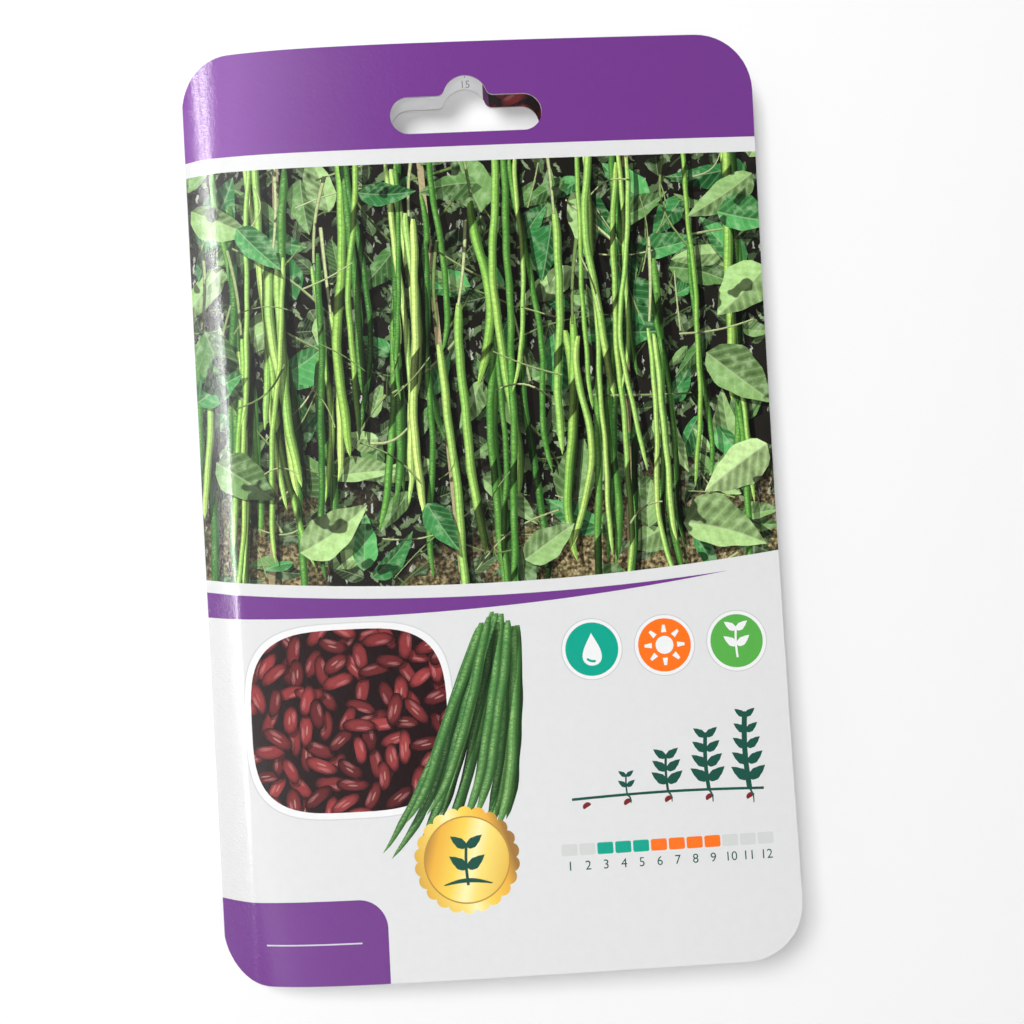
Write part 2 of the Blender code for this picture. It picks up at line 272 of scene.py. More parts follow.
def cut_to_band(ring, low=PICTURE_LOW, high=PICTURE_HIGH):
    """Clips a ring between two heights, edge by edge, adding the points where it crosses them."""
    for level, keep_below in ((high, True), (low, False)):
        if len(ring) < 3:
            return ring
        after = np.roll(ring, -1, axis=0)
        side = (ring[:, 1] <= level) if keep_below else (ring[:, 1] >= level)
        side_after = np.roll(side, -1)
        step = after[:, 1] - ring[:, 1]
        share = (level - ring[:, 1]) / np.where(np.abs(step) < 1e-9, 1.0, step)
        crossing = ring + (after - ring) * share[:, None]
        pairs = np.stack([ring, crossing], axis=1).reshape(-1, 2)
        kept = np.stack([side, side != side_after], axis=1).ravel()
        ring = pairs[kept]
    return ring


def turned(base, angle, along, across):
    """Points given along and across a direction, set at their base on the sheet."""
    cos, sin = math.cos(angle), math.sin(angle)
    return np.stack([base[0] + along * cos - across * sin, base[1] + along * sin + across * cos], axis=1)


def unturned(base, angle, x, y):
    """The way back: how far a place lies along a direction from its base, and how far across it."""
    cos, sin = math.cos(angle), math.sin(angle)
    along = (x - base[0]) * cos + (y - base[1]) * sin
    across = (y - base[1]) * cos - (x - base[0]) * sin
    return along, across


def print_leaf(base, angle, length, width, colour, bend=0.0, lop=0.0, side="outer", cut=True, ink="leaf"):
    """A leaf: half its width is the sine of pi times t to the 0.68; its rib bends with t squared."""
    t = np.linspace(0, 1, 15)
    half = width / 2 * np.sin(np.pi * t**0.68) ** 0.9 * (1.0 + 0.05 * np.sin(19 * t + 40 * lop))
    rib = bend * length * t**2
    ring = np.concatenate([
        turned(base, angle, t * length, rib - half * (1 - lop)),
        turned(base, angle, t[::-1] * length, (rib + half * (1 + lop))[::-1])[1:-1],
    ])
    ring = cut_to_band(ring) if cut else ring
    if len(ring) < 3:
        return

    def local(x, y):
        along, across = unturned(base, angle, x, y)
        share = along / length
        return (across - bend * length * share**2) / (width / 2), share

    sheet.add([ring], side, ink, colour, local, draw.uniform())


def print_shadow(ring, strength, shift, cut=True):
    """The shadow of a shape: the same ring moved down and to the right."""
    ring = ring + np.array(shift)
    ring = cut_to_band(ring) if cut else ring
    if len(ring) >= 3:
        sheet.add([ring], "outer", "shadow", shade=strength)


def ribbon(points, widths):
    """A band along a path: each point moves half a width along the path's normal, to both sides."""
    direction = np.gradient(points, axis=0)
    direction /= np.linalg.norm(direction, axis=1)[:, None]
    normal = np.stack([-direction[:, 1], direction[:, 0]], axis=1)
    offset = normal * np.asarray(widths)[:, None] / 2
    return np.concatenate([points - offset, (points + offset)[::-1]])


def bow(start, end, sag, count=9):
    """A path from start to end that sags sideways by a half sine."""
    t = np.linspace(0, 1, count)
    start, end = np.array(start, float), np.array(end, float)
    side = np.array([-(end - start)[1], (end - start)[0]]) / max(np.linalg.norm(end - start), 1e-6)
    return start + (end - start) * t[:, None] + side * (sag * np.sin(np.pi * t))[:, None]


def print_stem(start, end, sag, width, colour):
    """A thin stem with a darker lower edge."""
    path = bow(start, end, sag)
    taper = width * np.linspace(1.0, 0.65, len(path))
    dark = tuple(0.35 * c for c in colour)
    for lowered, wide, tint in ((0.25, 1.25, dark), (0.0, 0.8, colour)):
        ring = cut_to_band(ribbon(path - np.array([0, width * lowered]), taper * wide))
        if len(ring) >= 3:
            sheet.add([ring], "outer", "plain_picture", tint, None, draw.uniform())


def pod_centre(s, length, lean, sway, turns, phase, hook):
    """Sideways place of a pod's middle: a lean, a long sway, two short waves, and a hook at the tip."""
    share = s / length
    wave = sway * (np.sin(2 * np.pi * turns * share + phase) - math.sin(phase))
    short = 0.17 * np.sin(0.24 * s + 2.3 * phase) + 0.05 * np.sin(0.66 * s + 5.1 * phase)
    return lean * s + wave + short + hook * np.clip(share, 0, 1.2) ** 7


def print_pod(top, length, width, colour, lean, sway, turns, phase, hook, shadow, cut=True):
    """A hanging pod: a narrow neck, seeds that swell it every 8 mm, and a pointed tip."""
    s = np.linspace(0, length, int(length / 1.9) + 6)
    neck = np.clip(s / 4.0, 0.0, 1.0) ** 0.6 * 0.55 + 0.45
    tip = np.clip((length - s) / 6.0, 0.0, 1.0) ** 0.55
    swell = 1 + 0.05 * np.sin(2 * np.pi * s / 8.0 + 3 * phase)
    half = width / 2 * neck * tip * swell
    middle = top[0] + pod_centre(s, length, lean, sway, turns, phase, hook)
    height = top[1] - s
    ring = np.concatenate([
        np.stack([middle - half, height], axis=1),
        np.stack([middle + half, height], axis=1)[::-1][1:],
    ])
    print_shadow(ring, shadow, (draw.uniform(0.9, 2.0), draw.uniform(-1.5, -0.6)), cut)
    ring = cut_to_band(ring) if cut else ring
    if len(ring) < 3:
        return

    def local(x, y):
        s = top[1] - y
        return (x - top[0] - pod_centre(s, length, lean, sway, turns, phase, hook)) / (width / 2), s

    sheet.add([ring], "outer", "pod", colour, local, draw.uniform())


def between(low, high):
    """A colour drawn evenly between two colours, all channels by the same share."""
    share = draw.uniform()
    return tuple(a + (b - a) * share for a, b in zip(low, high))


def stray_spot(left, right, low, high):
    """A random spot in a box of the picture."""
    return np.array([draw.uniform(left, right), draw.uniform(low, high)])


def print_stray_stems(count, box, reaches, sag, widths, colours):
    """Stems in every direction, strewn over a box of the picture."""
    for _ in range(count):
        spot = stray_spot(*box)
        reach, angle = draw.uniform(*reaches), draw.uniform(0, 2 * np.pi)
        end = spot + reach * np.array([math.cos(angle), math.sin(angle)])
        print_stem(spot, end, draw.uniform(-sag, sag), draw.uniform(*widths), between(*colours))


def print_leaf_shadow(spot, angle, length, width, outline, strength, shift):
    """The shadow of a leaf, from a rough outline in shares of its length and width."""
    along, across = np.array(outline).T
    print_shadow(turned(spot, angle, along * length, across * width), strength, shift)


sheet.add([box_ring(FRONT_START, PICTURE_LOW, RIGHT, PICTURE_HIGH)], "outer", "earth")

DIM_LEAF = ((0.012, 0.030, 0.010), (0.075, 0.13, 0.05))
MID_LEAF = ((0.06, 0.17, 0.04), (0.35, 0.54, 0.20))
COOL_LEAF = ((0.02, 0.14, 0.035), (0.09, 0.36, 0.10))
BRIGHT_LEAF = ((0.22, 0.44, 0.12), (0.44, 0.62, 0.26))
STEM = ((0.16, 0.26, 0.07), (0.55, 0.62, 0.30))
POD = ((0.36, 0.62, 0.11), (0.68, 0.88, 0.25))
DEEP_POD = ((0.04, 0.18, 0.03), (0.17, 0.42, 0.07))
CANE = ((0.26, 0.21, 0.11), (0.42, 0.35, 0.19))
SHADED_STEM = ((0.04, 0.06, 0.025), STEM[0])
KITE = ((0, 0), (0.3, -0.5), (1.0, 0), (0.3, 0.5))
LANCE = ((0, 0), (0.25, -0.5), (0.6, -0.35), (1.0, 0), (0.6, 0.35), (0.25, 0.5))

for _ in range(260):
    spot = stray_spot(-62, 61, -20, 74)
    angle, length, width = draw.uniform(0, 2 * np.pi), draw.uniform(3.0, 9), draw.uniform(1.2, 4.2)
    tint = between(*DIM_LEAF)
    print_leaf(spot, angle, length, width, tint, draw.uniform(-0.2, 0.2), draw.uniform(-0.4, 0.4))
print_stray_stems(70, (-62, 61, -18, 74), (5, 26), 2.5, (0.2, 0.5), SHADED_STEM)
for foot, head in ((-47, -41), (-6, -11), (29, 33)):
    path = bow((foot, PICTURE_LOW - 1), (head, PICTURE_HIGH + 1), draw.uniform(-1, 1), 12)
    cane = ribbon(path, np.full(len(path), 1.3))
    print_shadow(cane, 0.35, (1.4, -1.0))
    sheet.add([cut_to_band(cane)], "outer", "plain_picture", between(*CANE), None, draw.uniform())
for _ in range(132):
    spot = stray_spot(-62, 61, -20, 74)
    angle, length = draw.uniform(0, 2 * np.pi), draw.uniform(6, 16)
    width = length * draw.uniform(0.28, 0.58)
    tint = between(*MID_LEAF) if draw.uniform() < 0.72 else between(*COOL_LEAF)
    print_leaf_shadow(spot, angle, length, width, KITE, 0.40, (1.1, -1.0))
    print_leaf(spot, angle, length, width, tint, draw.uniform(-0.25, 0.25), draw.uniform(-0.35, 0.35))
for _ in range(30):
    place = draw.uniform(-59, 59)
    start = draw.uniform(15, 80)
    print_pod((place, start), draw.uniform(35, 85), draw.uniform(1.1, 1.8), between(*DEEP_POD),
              draw.uniform(-0.06, 0.06), draw.uniform(0.3, 1.6), draw.uniform(0.4, 1.2), draw.uniform(0, 6),
              draw.uniform(-3, 3), 0.45)
print_stray_stems(44, (-62, 61, -16, 74), (8, 28), 3, (0.25, 0.55), STEM)

POD_CLUSTERS = (-58.5, -49.5, -46.0, -42.0, -34.5, -31.0, -26.0, -17.5, -14.0, -8.5, -5.0, -1.0, 5.5, 9.0,
                16.5, 20.0, 24.5, 32.0, 36.0, 44.5, 54.5)
for centre in POD_CLUSTERS:
    centre = centre + draw.uniform(-0.8, 0.8)
    head = draw.choice([79.0, 79.0, 79.0, 66.0, 54.0, 42.0]) + draw.uniform(-4, 4)
    count = draw.integers(1, 5)
    for k in range(count):
        side_step = (k - (count - 1) / 2) * draw.uniform(1.2, 2.6)
        start = min(head - draw.uniform(0, 6), 79.5)
        length = draw.uniform(50, 97) if head > 70 else draw.uniform(34, 70)
        tint = between(*POD) if draw.uniform() < 0.87 else between(*DEEP_POD)
        print_pod((centre + side_step * 0.7, start), length, draw.uniform(1.0, 2.05), tint,
                  draw.uniform(-0.055, 0.055) - side_step * 0.006, draw.uniform(0.3, 1.7),
                  draw.uniform(0.35, 1.1), draw.uniform(0, 6), draw.uniform(-3.0, 3.0), 0.24)
    if head < 70:
        root = (centre + draw.uniform(-4, 4), head + 16)
        print_stem(root, (centre, head - 2), draw.uniform(-1, 1), 0.7, between(*STEM))
print_stray_stems(24, (-58, 58, -10, 74), (7, 18), 2, (0.2, 0.4), STEM)

FRONT_LEAVES = (
    ((-60, 66), -0.5, 15, 7, MID_LEAF), ((-58, 40), -1.3, 17, 9, MID_LEAF),
    ((-50, 61), -0.9, 13, 6, COOL_LEAF), ((-57, 12), -0.6, 15, 9, MID_LEAF),
    ((-40, -8), 0.4, 17, 9, BRIGHT_LEAF), ((60, 68), -2.5, 17, 7, MID_LEAF),
    ((62, 48), -2.3, 15, 10, BRIGHT_LEAF), ((48, 30), -0.7, 18, 10, MID_LEAF),
    ((60, 10), -2.6, 17, 9, BRIGHT_LEAF), ((41, -6), -0.1, 18, 11, MID_LEAF),
    ((-13, 1), -1.1, 12, 6, COOL_LEAF), ((-24, 67), -0.2, 12, 5, COOL_LEAF),
    ((7, -12), 0.6, 13, 7, MID_LEAF), ((52, 60), -0.3, 13, 8, COOL_LEAF),
    ((-61, 25), 0.5, 12, 7, COOL_LEAF),
)
for spot, angle, length, width, tint in FRONT_LEAVES:
    print_leaf_shadow(spot, angle, length, width, LANCE, 0.30, (1.5, -1.3))
    print_leaf(spot, angle, length, width, between(*tint), draw.uniform(-0.2, 0.2), draw.uniform(-0.3, 0.3))

# The plain zones over the picture's edges: the purple header round the hang slot, a white stripe
# under it, the white lower part of the front, and a purple sweep that narrows to the right.

PURPLE = (0.166, 0.040, 0.256)
HEADER_LOW = 75.9
STRIPE = 3.2
PICTURE_FOOT = -16.4
SWEEP_GAP = 2.6
SWEEP_DEPTH = 5.4
SWEEP_END = 50.0


def header_edge(x):
    """The header's lower edge: a very shallow arch, highest in the middle."""
    return HEADER_LOW - 0.1 * np.clip(x / RIGHT, 0, 1) ** 2 + 0.5 * np.clip(x / LEFT, 0, 1) ** 2


def picture_top(x):
    """The picture's upper edge, a white stripe below the header."""
    return header_edge(x) - STRIPE


def picture_foot(x):
    """The picture's lower edge sags in the middle."""
    return PICTURE_FOOT + 3.6 * (x / RIGHT) ** 2


across = np.linspace(FRONT_START, RIGHT, 49)
white_band = np.concatenate([
    np.stack([across, picture_top(across)], axis=1),
    np.array([(RIGHT, PICTURE_HIGH + 1), (FRONT_START, PICTURE_HIGH + 1)]),
])
sheet.add([white_band], "outer", "plain", WHITE)
header = np.concatenate([
    np.stack([across, header_edge(across)], axis=1),
    np.array([(RIGHT + 1, TOP + 1), (FRONT_START, TOP + 1)]),
])
# The header's purple carries painted sheen: paler towards the bend, standing in for light on the rolled
# card.
sheet.add([header], "outer", "painted_sheen", PURPLE, lambda x, y: ((x - LEFT) / CARD_WIDTH, y))
lower_white = np.concatenate([
    np.array([(FRONT_START, BOTTOM - 1), (RIGHT + 1, BOTTOM - 1)]),
    np.stack([across[::-1], picture_foot(across[::-1])], axis=1),
])
sheet.add([lower_white], "outer", "plain", WHITE)
sweep_across = np.linspace(FRONT_START, SWEEP_END, 45)
sweep_share = (SWEEP_END - sweep_across) / (SWEEP_END - LEFT)
sweep_top = picture_foot(sweep_across) - SWEEP_GAP
sweep = np.concatenate([
    np.stack([sweep_across, sweep_top - SWEEP_DEPTH * sweep_share], axis=1),
    np.stack([sweep_across, sweep_top], axis=1)[::-1],
])
sheet.add([sweep], "outer", "plain", PURPLE)

# The seed picture on the lower left of the front: loose dark red seeds in a window with rounded
# sides, and a fan of picked pods laid over its right side.

WINDOW_X, WINDOW_Y = -31.5, -43.5
WINDOW_WIDE, WINDOW_TALL = 20.5, 19.0
WINDOW_POWER = 3.4
SEED_DARK = (0.012, 0.003, 0.004)
SEED_RED = ((0.085, 0.010, 0.012), (0.32, 0.040, 0.042))


def window_ring(grow, centre, half, power, count=72):
    """A rounded window: x and y are half sizes times cosine and sine to the power 2 over n, signs kept."""
    angle = np.linspace(0, 2 * np.pi, count, endpoint=False)
    cos, sin = np.cos(angle), np.sin(angle)
    x = (half[0] + grow) * np.sign(cos) * np.abs(cos) ** (2 / power)
    y = (half[1] + grow) * np.sign(sin) * np.abs(sin) ** (2 / power)
    return np.stack([centre[0] + x, centre[1] + y], axis=1)


def keep_inside(ring, fence):
    """Clips a ring by a convex fence, one side at a time, adding the points where it crosses them."""
    for start, end in zip(fence, np.roll(fence, -1, axis=0)):
        if len(ring) < 3:
            return ring
        out = np.array([(end - start)[1], -(end - start)[0]])
        depth = (ring - start) @ out
        if depth.max() <= 0:
            continue
        depth_after = np.roll(depth, -1)
        share = depth / np.where(np.abs(depth - depth_after) < 1e-12, 1.0, depth - depth_after)
        crossing = ring + (np.roll(ring, -1, axis=0) - ring) * share[:, None]
        pairs = np.stack([ring, crossing], axis=1).reshape(-1, 2)
        ring = pairs[np.stack([depth <= 0, (depth <= 0) != (depth_after <= 0)], axis=1).ravel()]
    return ring


def seed_shape(length, width, bend, count=18):
    """A kidney: an ellipse whose middle is pushed sideways by bend times one half minus cosine squared."""
    angle = np.linspace(0, 2 * np.pi, count, endpoint=False)
    along = length / 2 * np.cos(angle)
    across = width / 2 * np.sin(angle) * (1 + 0.12 * np.cos(2 * angle)) + bend * (0.5 - np.cos(angle) ** 2)
    return along, across


def print_seeds(side, centre, half, power, pitch, tone=1.0):
    """Fills a window with seeds in every direction; on the outer side each lies over the shadow it throws on
    those below.
    """
    ring = window_ring(0.0, centre, half, power)
    sheet.add([ring], side, "plain", SEED_DARK)
    rows = np.arange(centre[1] - half[1], centre[1] + half[1] + pitch, pitch * 0.52)
    spots = [(x + pitch * 0.5 * (r % 2), y) for r, y in enumerate(rows)
             for x in np.arange(centre[0] - half[0] - pitch, centre[0] + half[0] + pitch, pitch)]
    spots = np.array(spots) + draw.uniform(-1, 1, (len(spots), 2)) * pitch * 0.28
    for x, y in spots[draw.permutation(len(spots))]:
        reach = abs((x - centre[0]) / half[0]) ** power + abs((y - centre[1]) / half[1]) ** power
        if reach > 1.25:
            continue
        angle = draw.uniform(0, 2 * np.pi)
        length, width = draw.uniform(5.8, 7.4), draw.uniform(2.8, 3.5)
        bend = draw.uniform(-0.7, 0.7)
        along, across = seed_shape(length, width, bend)
        shape = turned((x, y), angle, along, across)
        dark = turned((x + 0.35, y - 0.4), angle, along * 1.08, across * 1.14)
        if side == "outer":
            sheet.add([keep_inside(dark, ring)], side, "shadow", shade=0.42)

        def local(px, py, x=x, y=y, angle=angle, length=length, width=width):
            along, across = unturned((x, y), angle, px, py)
            return along / (length / 2), across / (width / 2)

        tint = tuple(tone * c for c in between(*SEED_RED))
        sheet.add([keep_inside(shape, ring)], side, "seed", tint, local, draw.uniform())


PODS_IN_FAN = 17
window = ((WINDOW_X, WINDOW_Y), (WINDOW_WIDE, WINDOW_TALL), WINDOW_POWER)
sheet.add([window_ring(1.5, *window)], "outer", "plain", (0.62, 0.62, 0.63))
sheet.add([window_ring(1.25, *window)], "outer", "plain", (0.84, 0.84, 0.84))
print_seeds("outer", *window, 5.5)
for k in draw.permutation(PODS_IN_FAN):
    share = k / (PODS_IN_FAN - 1)
    tint = between((0.05, 0.17, 0.05), (0.18, 0.40, 0.11))
    rise = 3.2 * math.sin(np.pi * share) + draw.uniform(-1.6, 1.2)
    length, width = 43 + draw.uniform(-5, 3), draw.uniform(1.6, 2.1)
    lean = -0.40 + 0.30 * share + draw.uniform(-0.01, 0.01)
    print_pod((-3.8 + 8.6 * share, -26.5 + rise), length, width, tint, lean, draw.uniform(0.2, 0.6), 0.7,
              draw.uniform(0, 6), -3.5 + 2 * share, 0.42, False)

# The round gold seal at the foot of the pods, with a plain seedling in dark green.

SEAL_X, SEAL_Y, SEAL_RADIUS = -8.5, -73.5, 11.0
DARK_GREEN = (0.012, 0.085, 0.060)


def scallop_ring(centre, radius, lobes, depth, count):
    """A round edge with lobes: the radius dips by a share, its depth, between every two of them."""
    angle = np.linspace(0, 2 * np.pi, count, endpoint=False)
    reach = radius * (1 - depth + depth * np.abs(np.sin(lobes * angle / 2)) ** 0.7)
    return np.stack([centre[0] + reach * np.cos(angle), centre[1] + reach * np.sin(angle)], axis=1)


def disc(centre, radius, count=40):
    """A round shape."""
    return arc(centre[0], centre[1], radius, 0, 360, count)[:-1]


def print_seedling(foot, size, colour, leaves=2, side="outer"):
    """A plain plant: a stem and pairs of leaves, each a little higher and smaller."""
    stem = bow(foot, (foot[0], foot[1] + size), size * 0.03, 7)
    sheet.add([ribbon(stem, np.full(7, max(size * 0.07, 0.35)))], side, "plain", colour)
    for k in range(leaves):
        height = foot[1] + size * (k + 1) / leaves - size * 0.04
        long = min(size * 0.52, 4.4 if leaves > 2 else 99.0) * (1 - 0.1 * k)
        for angle, bend in ((math.radians(28), 0.12), (math.radians(152), -0.12)):
            spot = (foot[0], height - long * 0.1)
            print_leaf(spot, angle, long, long * 0.5, colour, bend, 0.0, side, False, "plain")


seal_spot = (SEAL_X, SEAL_Y)
seal = scallop_ring(seal_spot, SEAL_RADIUS, 22, 0.07, 220)
print_shadow(seal, 0.72, (0.5, -0.5), False)


def seal_place(x, y):
    """Place within the seal, from -1 to 1 each way."""
    return (x - SEAL_X) / SEAL_RADIUS, (y - SEAL_Y) / SEAL_RADIUS


sheet.add([seal], "outer", "gold", (1, 1, 1), seal_place)
sheet.add([disc(seal_spot, 9.0, 60)], "outer", "plain", (0.50, 0.26, 0.045))
sheet.add([disc(seal_spot, 8.7, 60)], "outer", "gold", (1, 1, 1), lambda x, y: seal_place(2 * SEAL_X - x, y))
print_seedling((SEAL_X, SEAL_Y - 5.2), 8.6, DARK_GREEN)
soil = bow((SEAL_X - 5.0, SEAL_Y - 5.0), (SEAL_X + 5.0, SEAL_Y - 5.0), 0.8, 13)
sheet.add([ribbon(soil, 0.9 * np.sin(np.linspace(0.25, np.pi - 0.25, 13)))], "outer", "plain", DARK_GREEN)

# Growing notes on the right of the lower front, as plain signs: water, sun and seedling discs, the
# plant's stages from seed to full height, and a bar of the twelve months.

TEAL = (0.0, 0.37, 0.26)
ORANGE = (0.95, 0.17, 0.008)
GRASS = (0.10, 0.42, 0.07)
BRIGHT_WHITE = (0.84, 0.85, 0.84)
SOWN = (3, 4, 5)
PICKED = (6, 7, 8, 9)


def drop_ring(centre, size, count=28):
    """A water drop: a circle whose width narrows to nothing at the top."""
    angle = np.linspace(0, 2 * np.pi, count, endpoint=False)
    narrow = ((1 - np.sin(angle)) / 2) ** 0.75
    x = size * 0.62 * np.cos(angle) * narrow * 1.35
    return np.stack([centre[0] + x, centre[1] + size * np.sin(angle)], axis=1)


def print_number(text, spot, size, side, colour):
    """A plain number in the built-in typeface, centred on a spot."""
    curve = bpy.data.curves.new("number", "FONT")
    curve.body = text
    curve.align_x = curve.align_y = "CENTER"
    curve.size = size
    curve.resolution_u = 3
    item = bpy.data.objects.new("number", curve)
    bpy.context.scene.collection.objects.link(item)
    bpy.context.view_layer.update()
    flat = bpy.data.meshes.new_from_object(item.evaluated_get(bpy.context.evaluated_depsgraph_get()))
    flat.calc_loop_triangles()
    points = np.zeros(len(flat.vertices) * 3)
    flat.vertices.foreach_get("co", points)
    corners = np.zeros(len(flat.loop_triangles) * 3, np.int32)
    flat.loop_triangles.foreach_get("vertices", corners)
    glyphs = points.reshape(-1, 3)[corners, :2].reshape(-1, 3, 2) + np.array(spot)
    sheet.add(list(glyphs), side, "plain", colour)
    bpy.data.objects.remove(item)
    bpy.data.curves.remove(curve)
    bpy.data.meshes.remove(flat)


def print_signs(side, left, height, gap, radius):
    """The three discs: a drop on teal, a sun on orange, and a seedling on green."""
    for k, colour in enumerate((TEAL, ORANGE, GRASS)):
        spot = (left + gap * k, height)
        sheet.add([disc(spot, radius + 0.9)], side, "plain", (0.55, 0.56, 0.56))
        sheet.add([disc(spot, radius + 0.72)], side, "plain", (0.84, 0.84, 0.84))
        sheet.add([disc(spot, radius)], side, "plain", colour)
    sheet.add([drop_ring((left, height), radius * 0.62)], side, "plain", BRIGHT_WHITE)
    glint_start = (left - radius * 0.2, height - radius * 0.35)
    glint_end = (left + radius * 0.12, height - radius * 0.45)
    sheet.add([ribbon(bow(glint_start, glint_end, -0.25, 6), np.full(6, 0.5))], side, "plain", TEAL)
    sun = (left + gap, height)
    sheet.add([disc(sun, radius * 0.34, 24)], side, "plain", BRIGHT_WHITE)
    ray_along = np.array([0.48, 0.76, 0.76, 0.48]) * radius
    ray_across = np.array([-0.10, -0.05, 0.05, 0.10]) * radius
    for k in range(8):
        sheet.add([turned(sun, k * np.pi / 4, ray_along, ray_across)], side, "plain", BRIGHT_WHITE)
    print_seedling((left + 2 * gap, height - radius * 0.62), radius * 1.15, BRIGHT_WHITE, 2, side)


def print_stages(side, left, right, ground, tallest):
    """Five plants from seed to full height on a line of soil."""
    line = bow((left - 3, ground), (right + 3, ground), 0.5, 13)
    sheet.add([ribbon(line, np.full(13, 0.55))], side, "plain", DARK_GREEN)
    for k, share in enumerate((0.0, 0.26, 0.48, 0.74, 1.0)):
        x = left + (right - left) * k / 4
        foot = ground + 0.5 * math.sin(np.pi * (x - left + 3) / (right - left + 6))
        along, across = seed_shape(1.9, 1.15, 0.25, 14)
        sheet.add([turned((x, foot - 1.5), 0.5, along, across)], side, "plain", (0.20, 0.02, 0.02))
        if share:
            print_seedling((x, foot), tallest * share, DARK_GREEN, 1 + k, side)
            root = bow((x, foot), (x + 0.7, foot - 1.4 - 1.6 * share), 0.3, 6)
            sheet.add([ribbon(root, np.linspace(0.45, 0.2, 6))], side, "plain", DARK_GREEN)


def print_months(side, left, low, step):
    """Twelve boxes with plain numbers; months to sow are teal, months to pick are orange."""
    for k in range(12):
        colour = TEAL if k + 1 in SOWN else ORANGE if k + 1 in PICKED else (0.62, 0.64, 0.62)
        box = box_ring(left + k * step + 0.2, low, left + (k + 1) * step - 0.2, low + 2.4, 0.4)
        sheet.add([box], side, "plain", colour)
        print_number(str(k + 1), (left + (k + 0.5) * step, low - 2.2), 2.7, side, DARK_GREEN)


print_signs("outer", 20.0, -31.5, 15.4, 5.6)
print_stages("outer", 17.0, 51.5, -62.5, 16.0)
print_months("outer", 11.0, -74.0, 3.75)

# The purple block in the lower left corner, bare but for one thin line.

CORNER_RIGHT, CORNER_HIGH, CORNER_RADIUS = -25.5, -80.5, 6.0
block = np.concatenate([
    np.array([(FRONT_START, CORNER_HIGH), (FRONT_START, BOTTOM - 1), (CORNER_RIGHT, BOTTOM - 1)]),
    arc(CORNER_RIGHT - CORNER_RADIUS, CORNER_HIGH - CORNER_RADIUS, CORNER_RADIUS, 0, 90, 12),
])
sheet.add([block], "outer", "plain", PURPLE)
sheet.add([box_ring(-51.0, -89.45, -31.0, -89.15)], "outer", "plain", (0.62, 0.60, 0.66))

# The back of the packet: the header runs round it, over plain sowing notes and a ruler in
# centimetres along the lower edge.

BACK_LEFT = LEFT - CARD_WIDTH
PLANT_STEP = 20.5
ARROW_Y = -54.5
ARROW_LENGTH = 17.5
sheet.add([box_ring(BACK_LEFT - 1, 74.9, FRONT_START, TOP + 1)], "outer", "plain", PURPLE)
sheet.add([box_ring(BACK_LEFT + 9, 22.0, LEFT - 9, 66.0, 3.0)], "outer", "plain", (0.33, 0.56, 0.40))
sheet.add([box_ring(BACK_LEFT + 9.7, 22.7, LEFT - 9.7, 65.3, 2.4)], "outer", "plain", (0.78, 0.80, 0.76))
print_stages("outer", BACK_LEFT + 22, LEFT - 22, 33.0, 26.0)
print_signs("outer", BACK_LEFT + 28, 4.0, 33.0, 9.0)
print_months("outer", BACK_LEFT + 13, -22.0, 8.0)
for k in range(5):
    print_seedling((BACK_LEFT + 20 + PLANT_STEP * k, -52.0), 7.5, DARK_GREEN)
for k in range(4):
    x = BACK_LEFT + 21.5 + PLANT_STEP * k
    arrow = bow((x, ARROW_Y), (x + ARROW_LENGTH, ARROW_Y), 0.0, 4)
    sheet.add([ribbon(arrow, np.full(4, 0.4))], "outer", "plain", DARK_GREEN)
    for tip, way in ((x, 1), (x + ARROW_LENGTH, -1)):
        barb = tip + 1.8 * way
        head = np.array([(tip, ARROW_Y), (barb, ARROW_Y + 0.8), (barb, ARROW_Y - 0.8)])
        sheet.add([head], "outer", "plain", DARK_GREEN)
    print_number("25", (x + ARROW_LENGTH / 2, -57.6), 3.4, "outer", DARK_GREEN)


def print_ruler(side, left, edge, way, numbers, colour):
    """Centimetre ticks and plain numbers that stand off an edge, half-centimetres between."""
    for k, number in enumerate(numbers):
        x = left + 10 * k
        for offset, long in ((0, 2.6), (5, 1.6)):
            high, low = max(edge, edge + way * long), min(edge, edge + way * long)
            sheet.add([box_ring(x + offset - 0.12, low, x + offset + 0.12, high)], side, "plain", colour)
        print_number(str(number), (x, edge + way * 4.6), 2.9, side, colour)


print_ruler("outer", BACK_LEFT + 11, -82.5, 1, range(0, 11), DARK_GREEN)
sheet.add([box_ring(BACK_LEFT - 1, BOTTOM - 1, FRONT_START, -82.7)], "outer", "plain", PURPLE)

# The inside of the card is white board. The back panel's inner side has a ruler along its top
# edge and a second seed picture beside the hang slot; the front's inner side has large signs.

INNER_GREY = (0.30, 0.31, 0.32)
TOP_RULER_EDGE = 94.6
for number in range(10, 16):
    x = -0.15 + 10.0 * (number - 15)
    print_number(str(number), (x, 91.65), 2.3, "inner", INNER_GREY)
    sheet.add([box_ring(x - 0.09, 93.2, x + 0.09, TOP_RULER_EDGE)], "inner", "plain", INNER_GREY)
    sheet.add([box_ring(x + 4.91, 93.7, x + 5.09, TOP_RULER_EDGE)], "inner", "plain", INNER_GREY)
INSET = ((31.5, 77.5), (26.7, 16.0), 30.0)
sheet.add([window_ring(1.2, *INSET)], "inner", "plain", (0.115, 0.03, 0.12))
print_seeds("inner", *INSET, 5.2, 0.75)
print_signs("inner", BACK_LEFT + 28, 40.0, 33.0, 9.0)
print_stages("inner", BACK_LEFT + 22, LEFT - 22, -10.0, 26.0)
print_months("inner", BACK_LEFT + 13, -40.0, 8.0)
print_ruler("inner", BACK_LEFT + 11, -90.0, 1, range(0, 11), INNER_GREY)
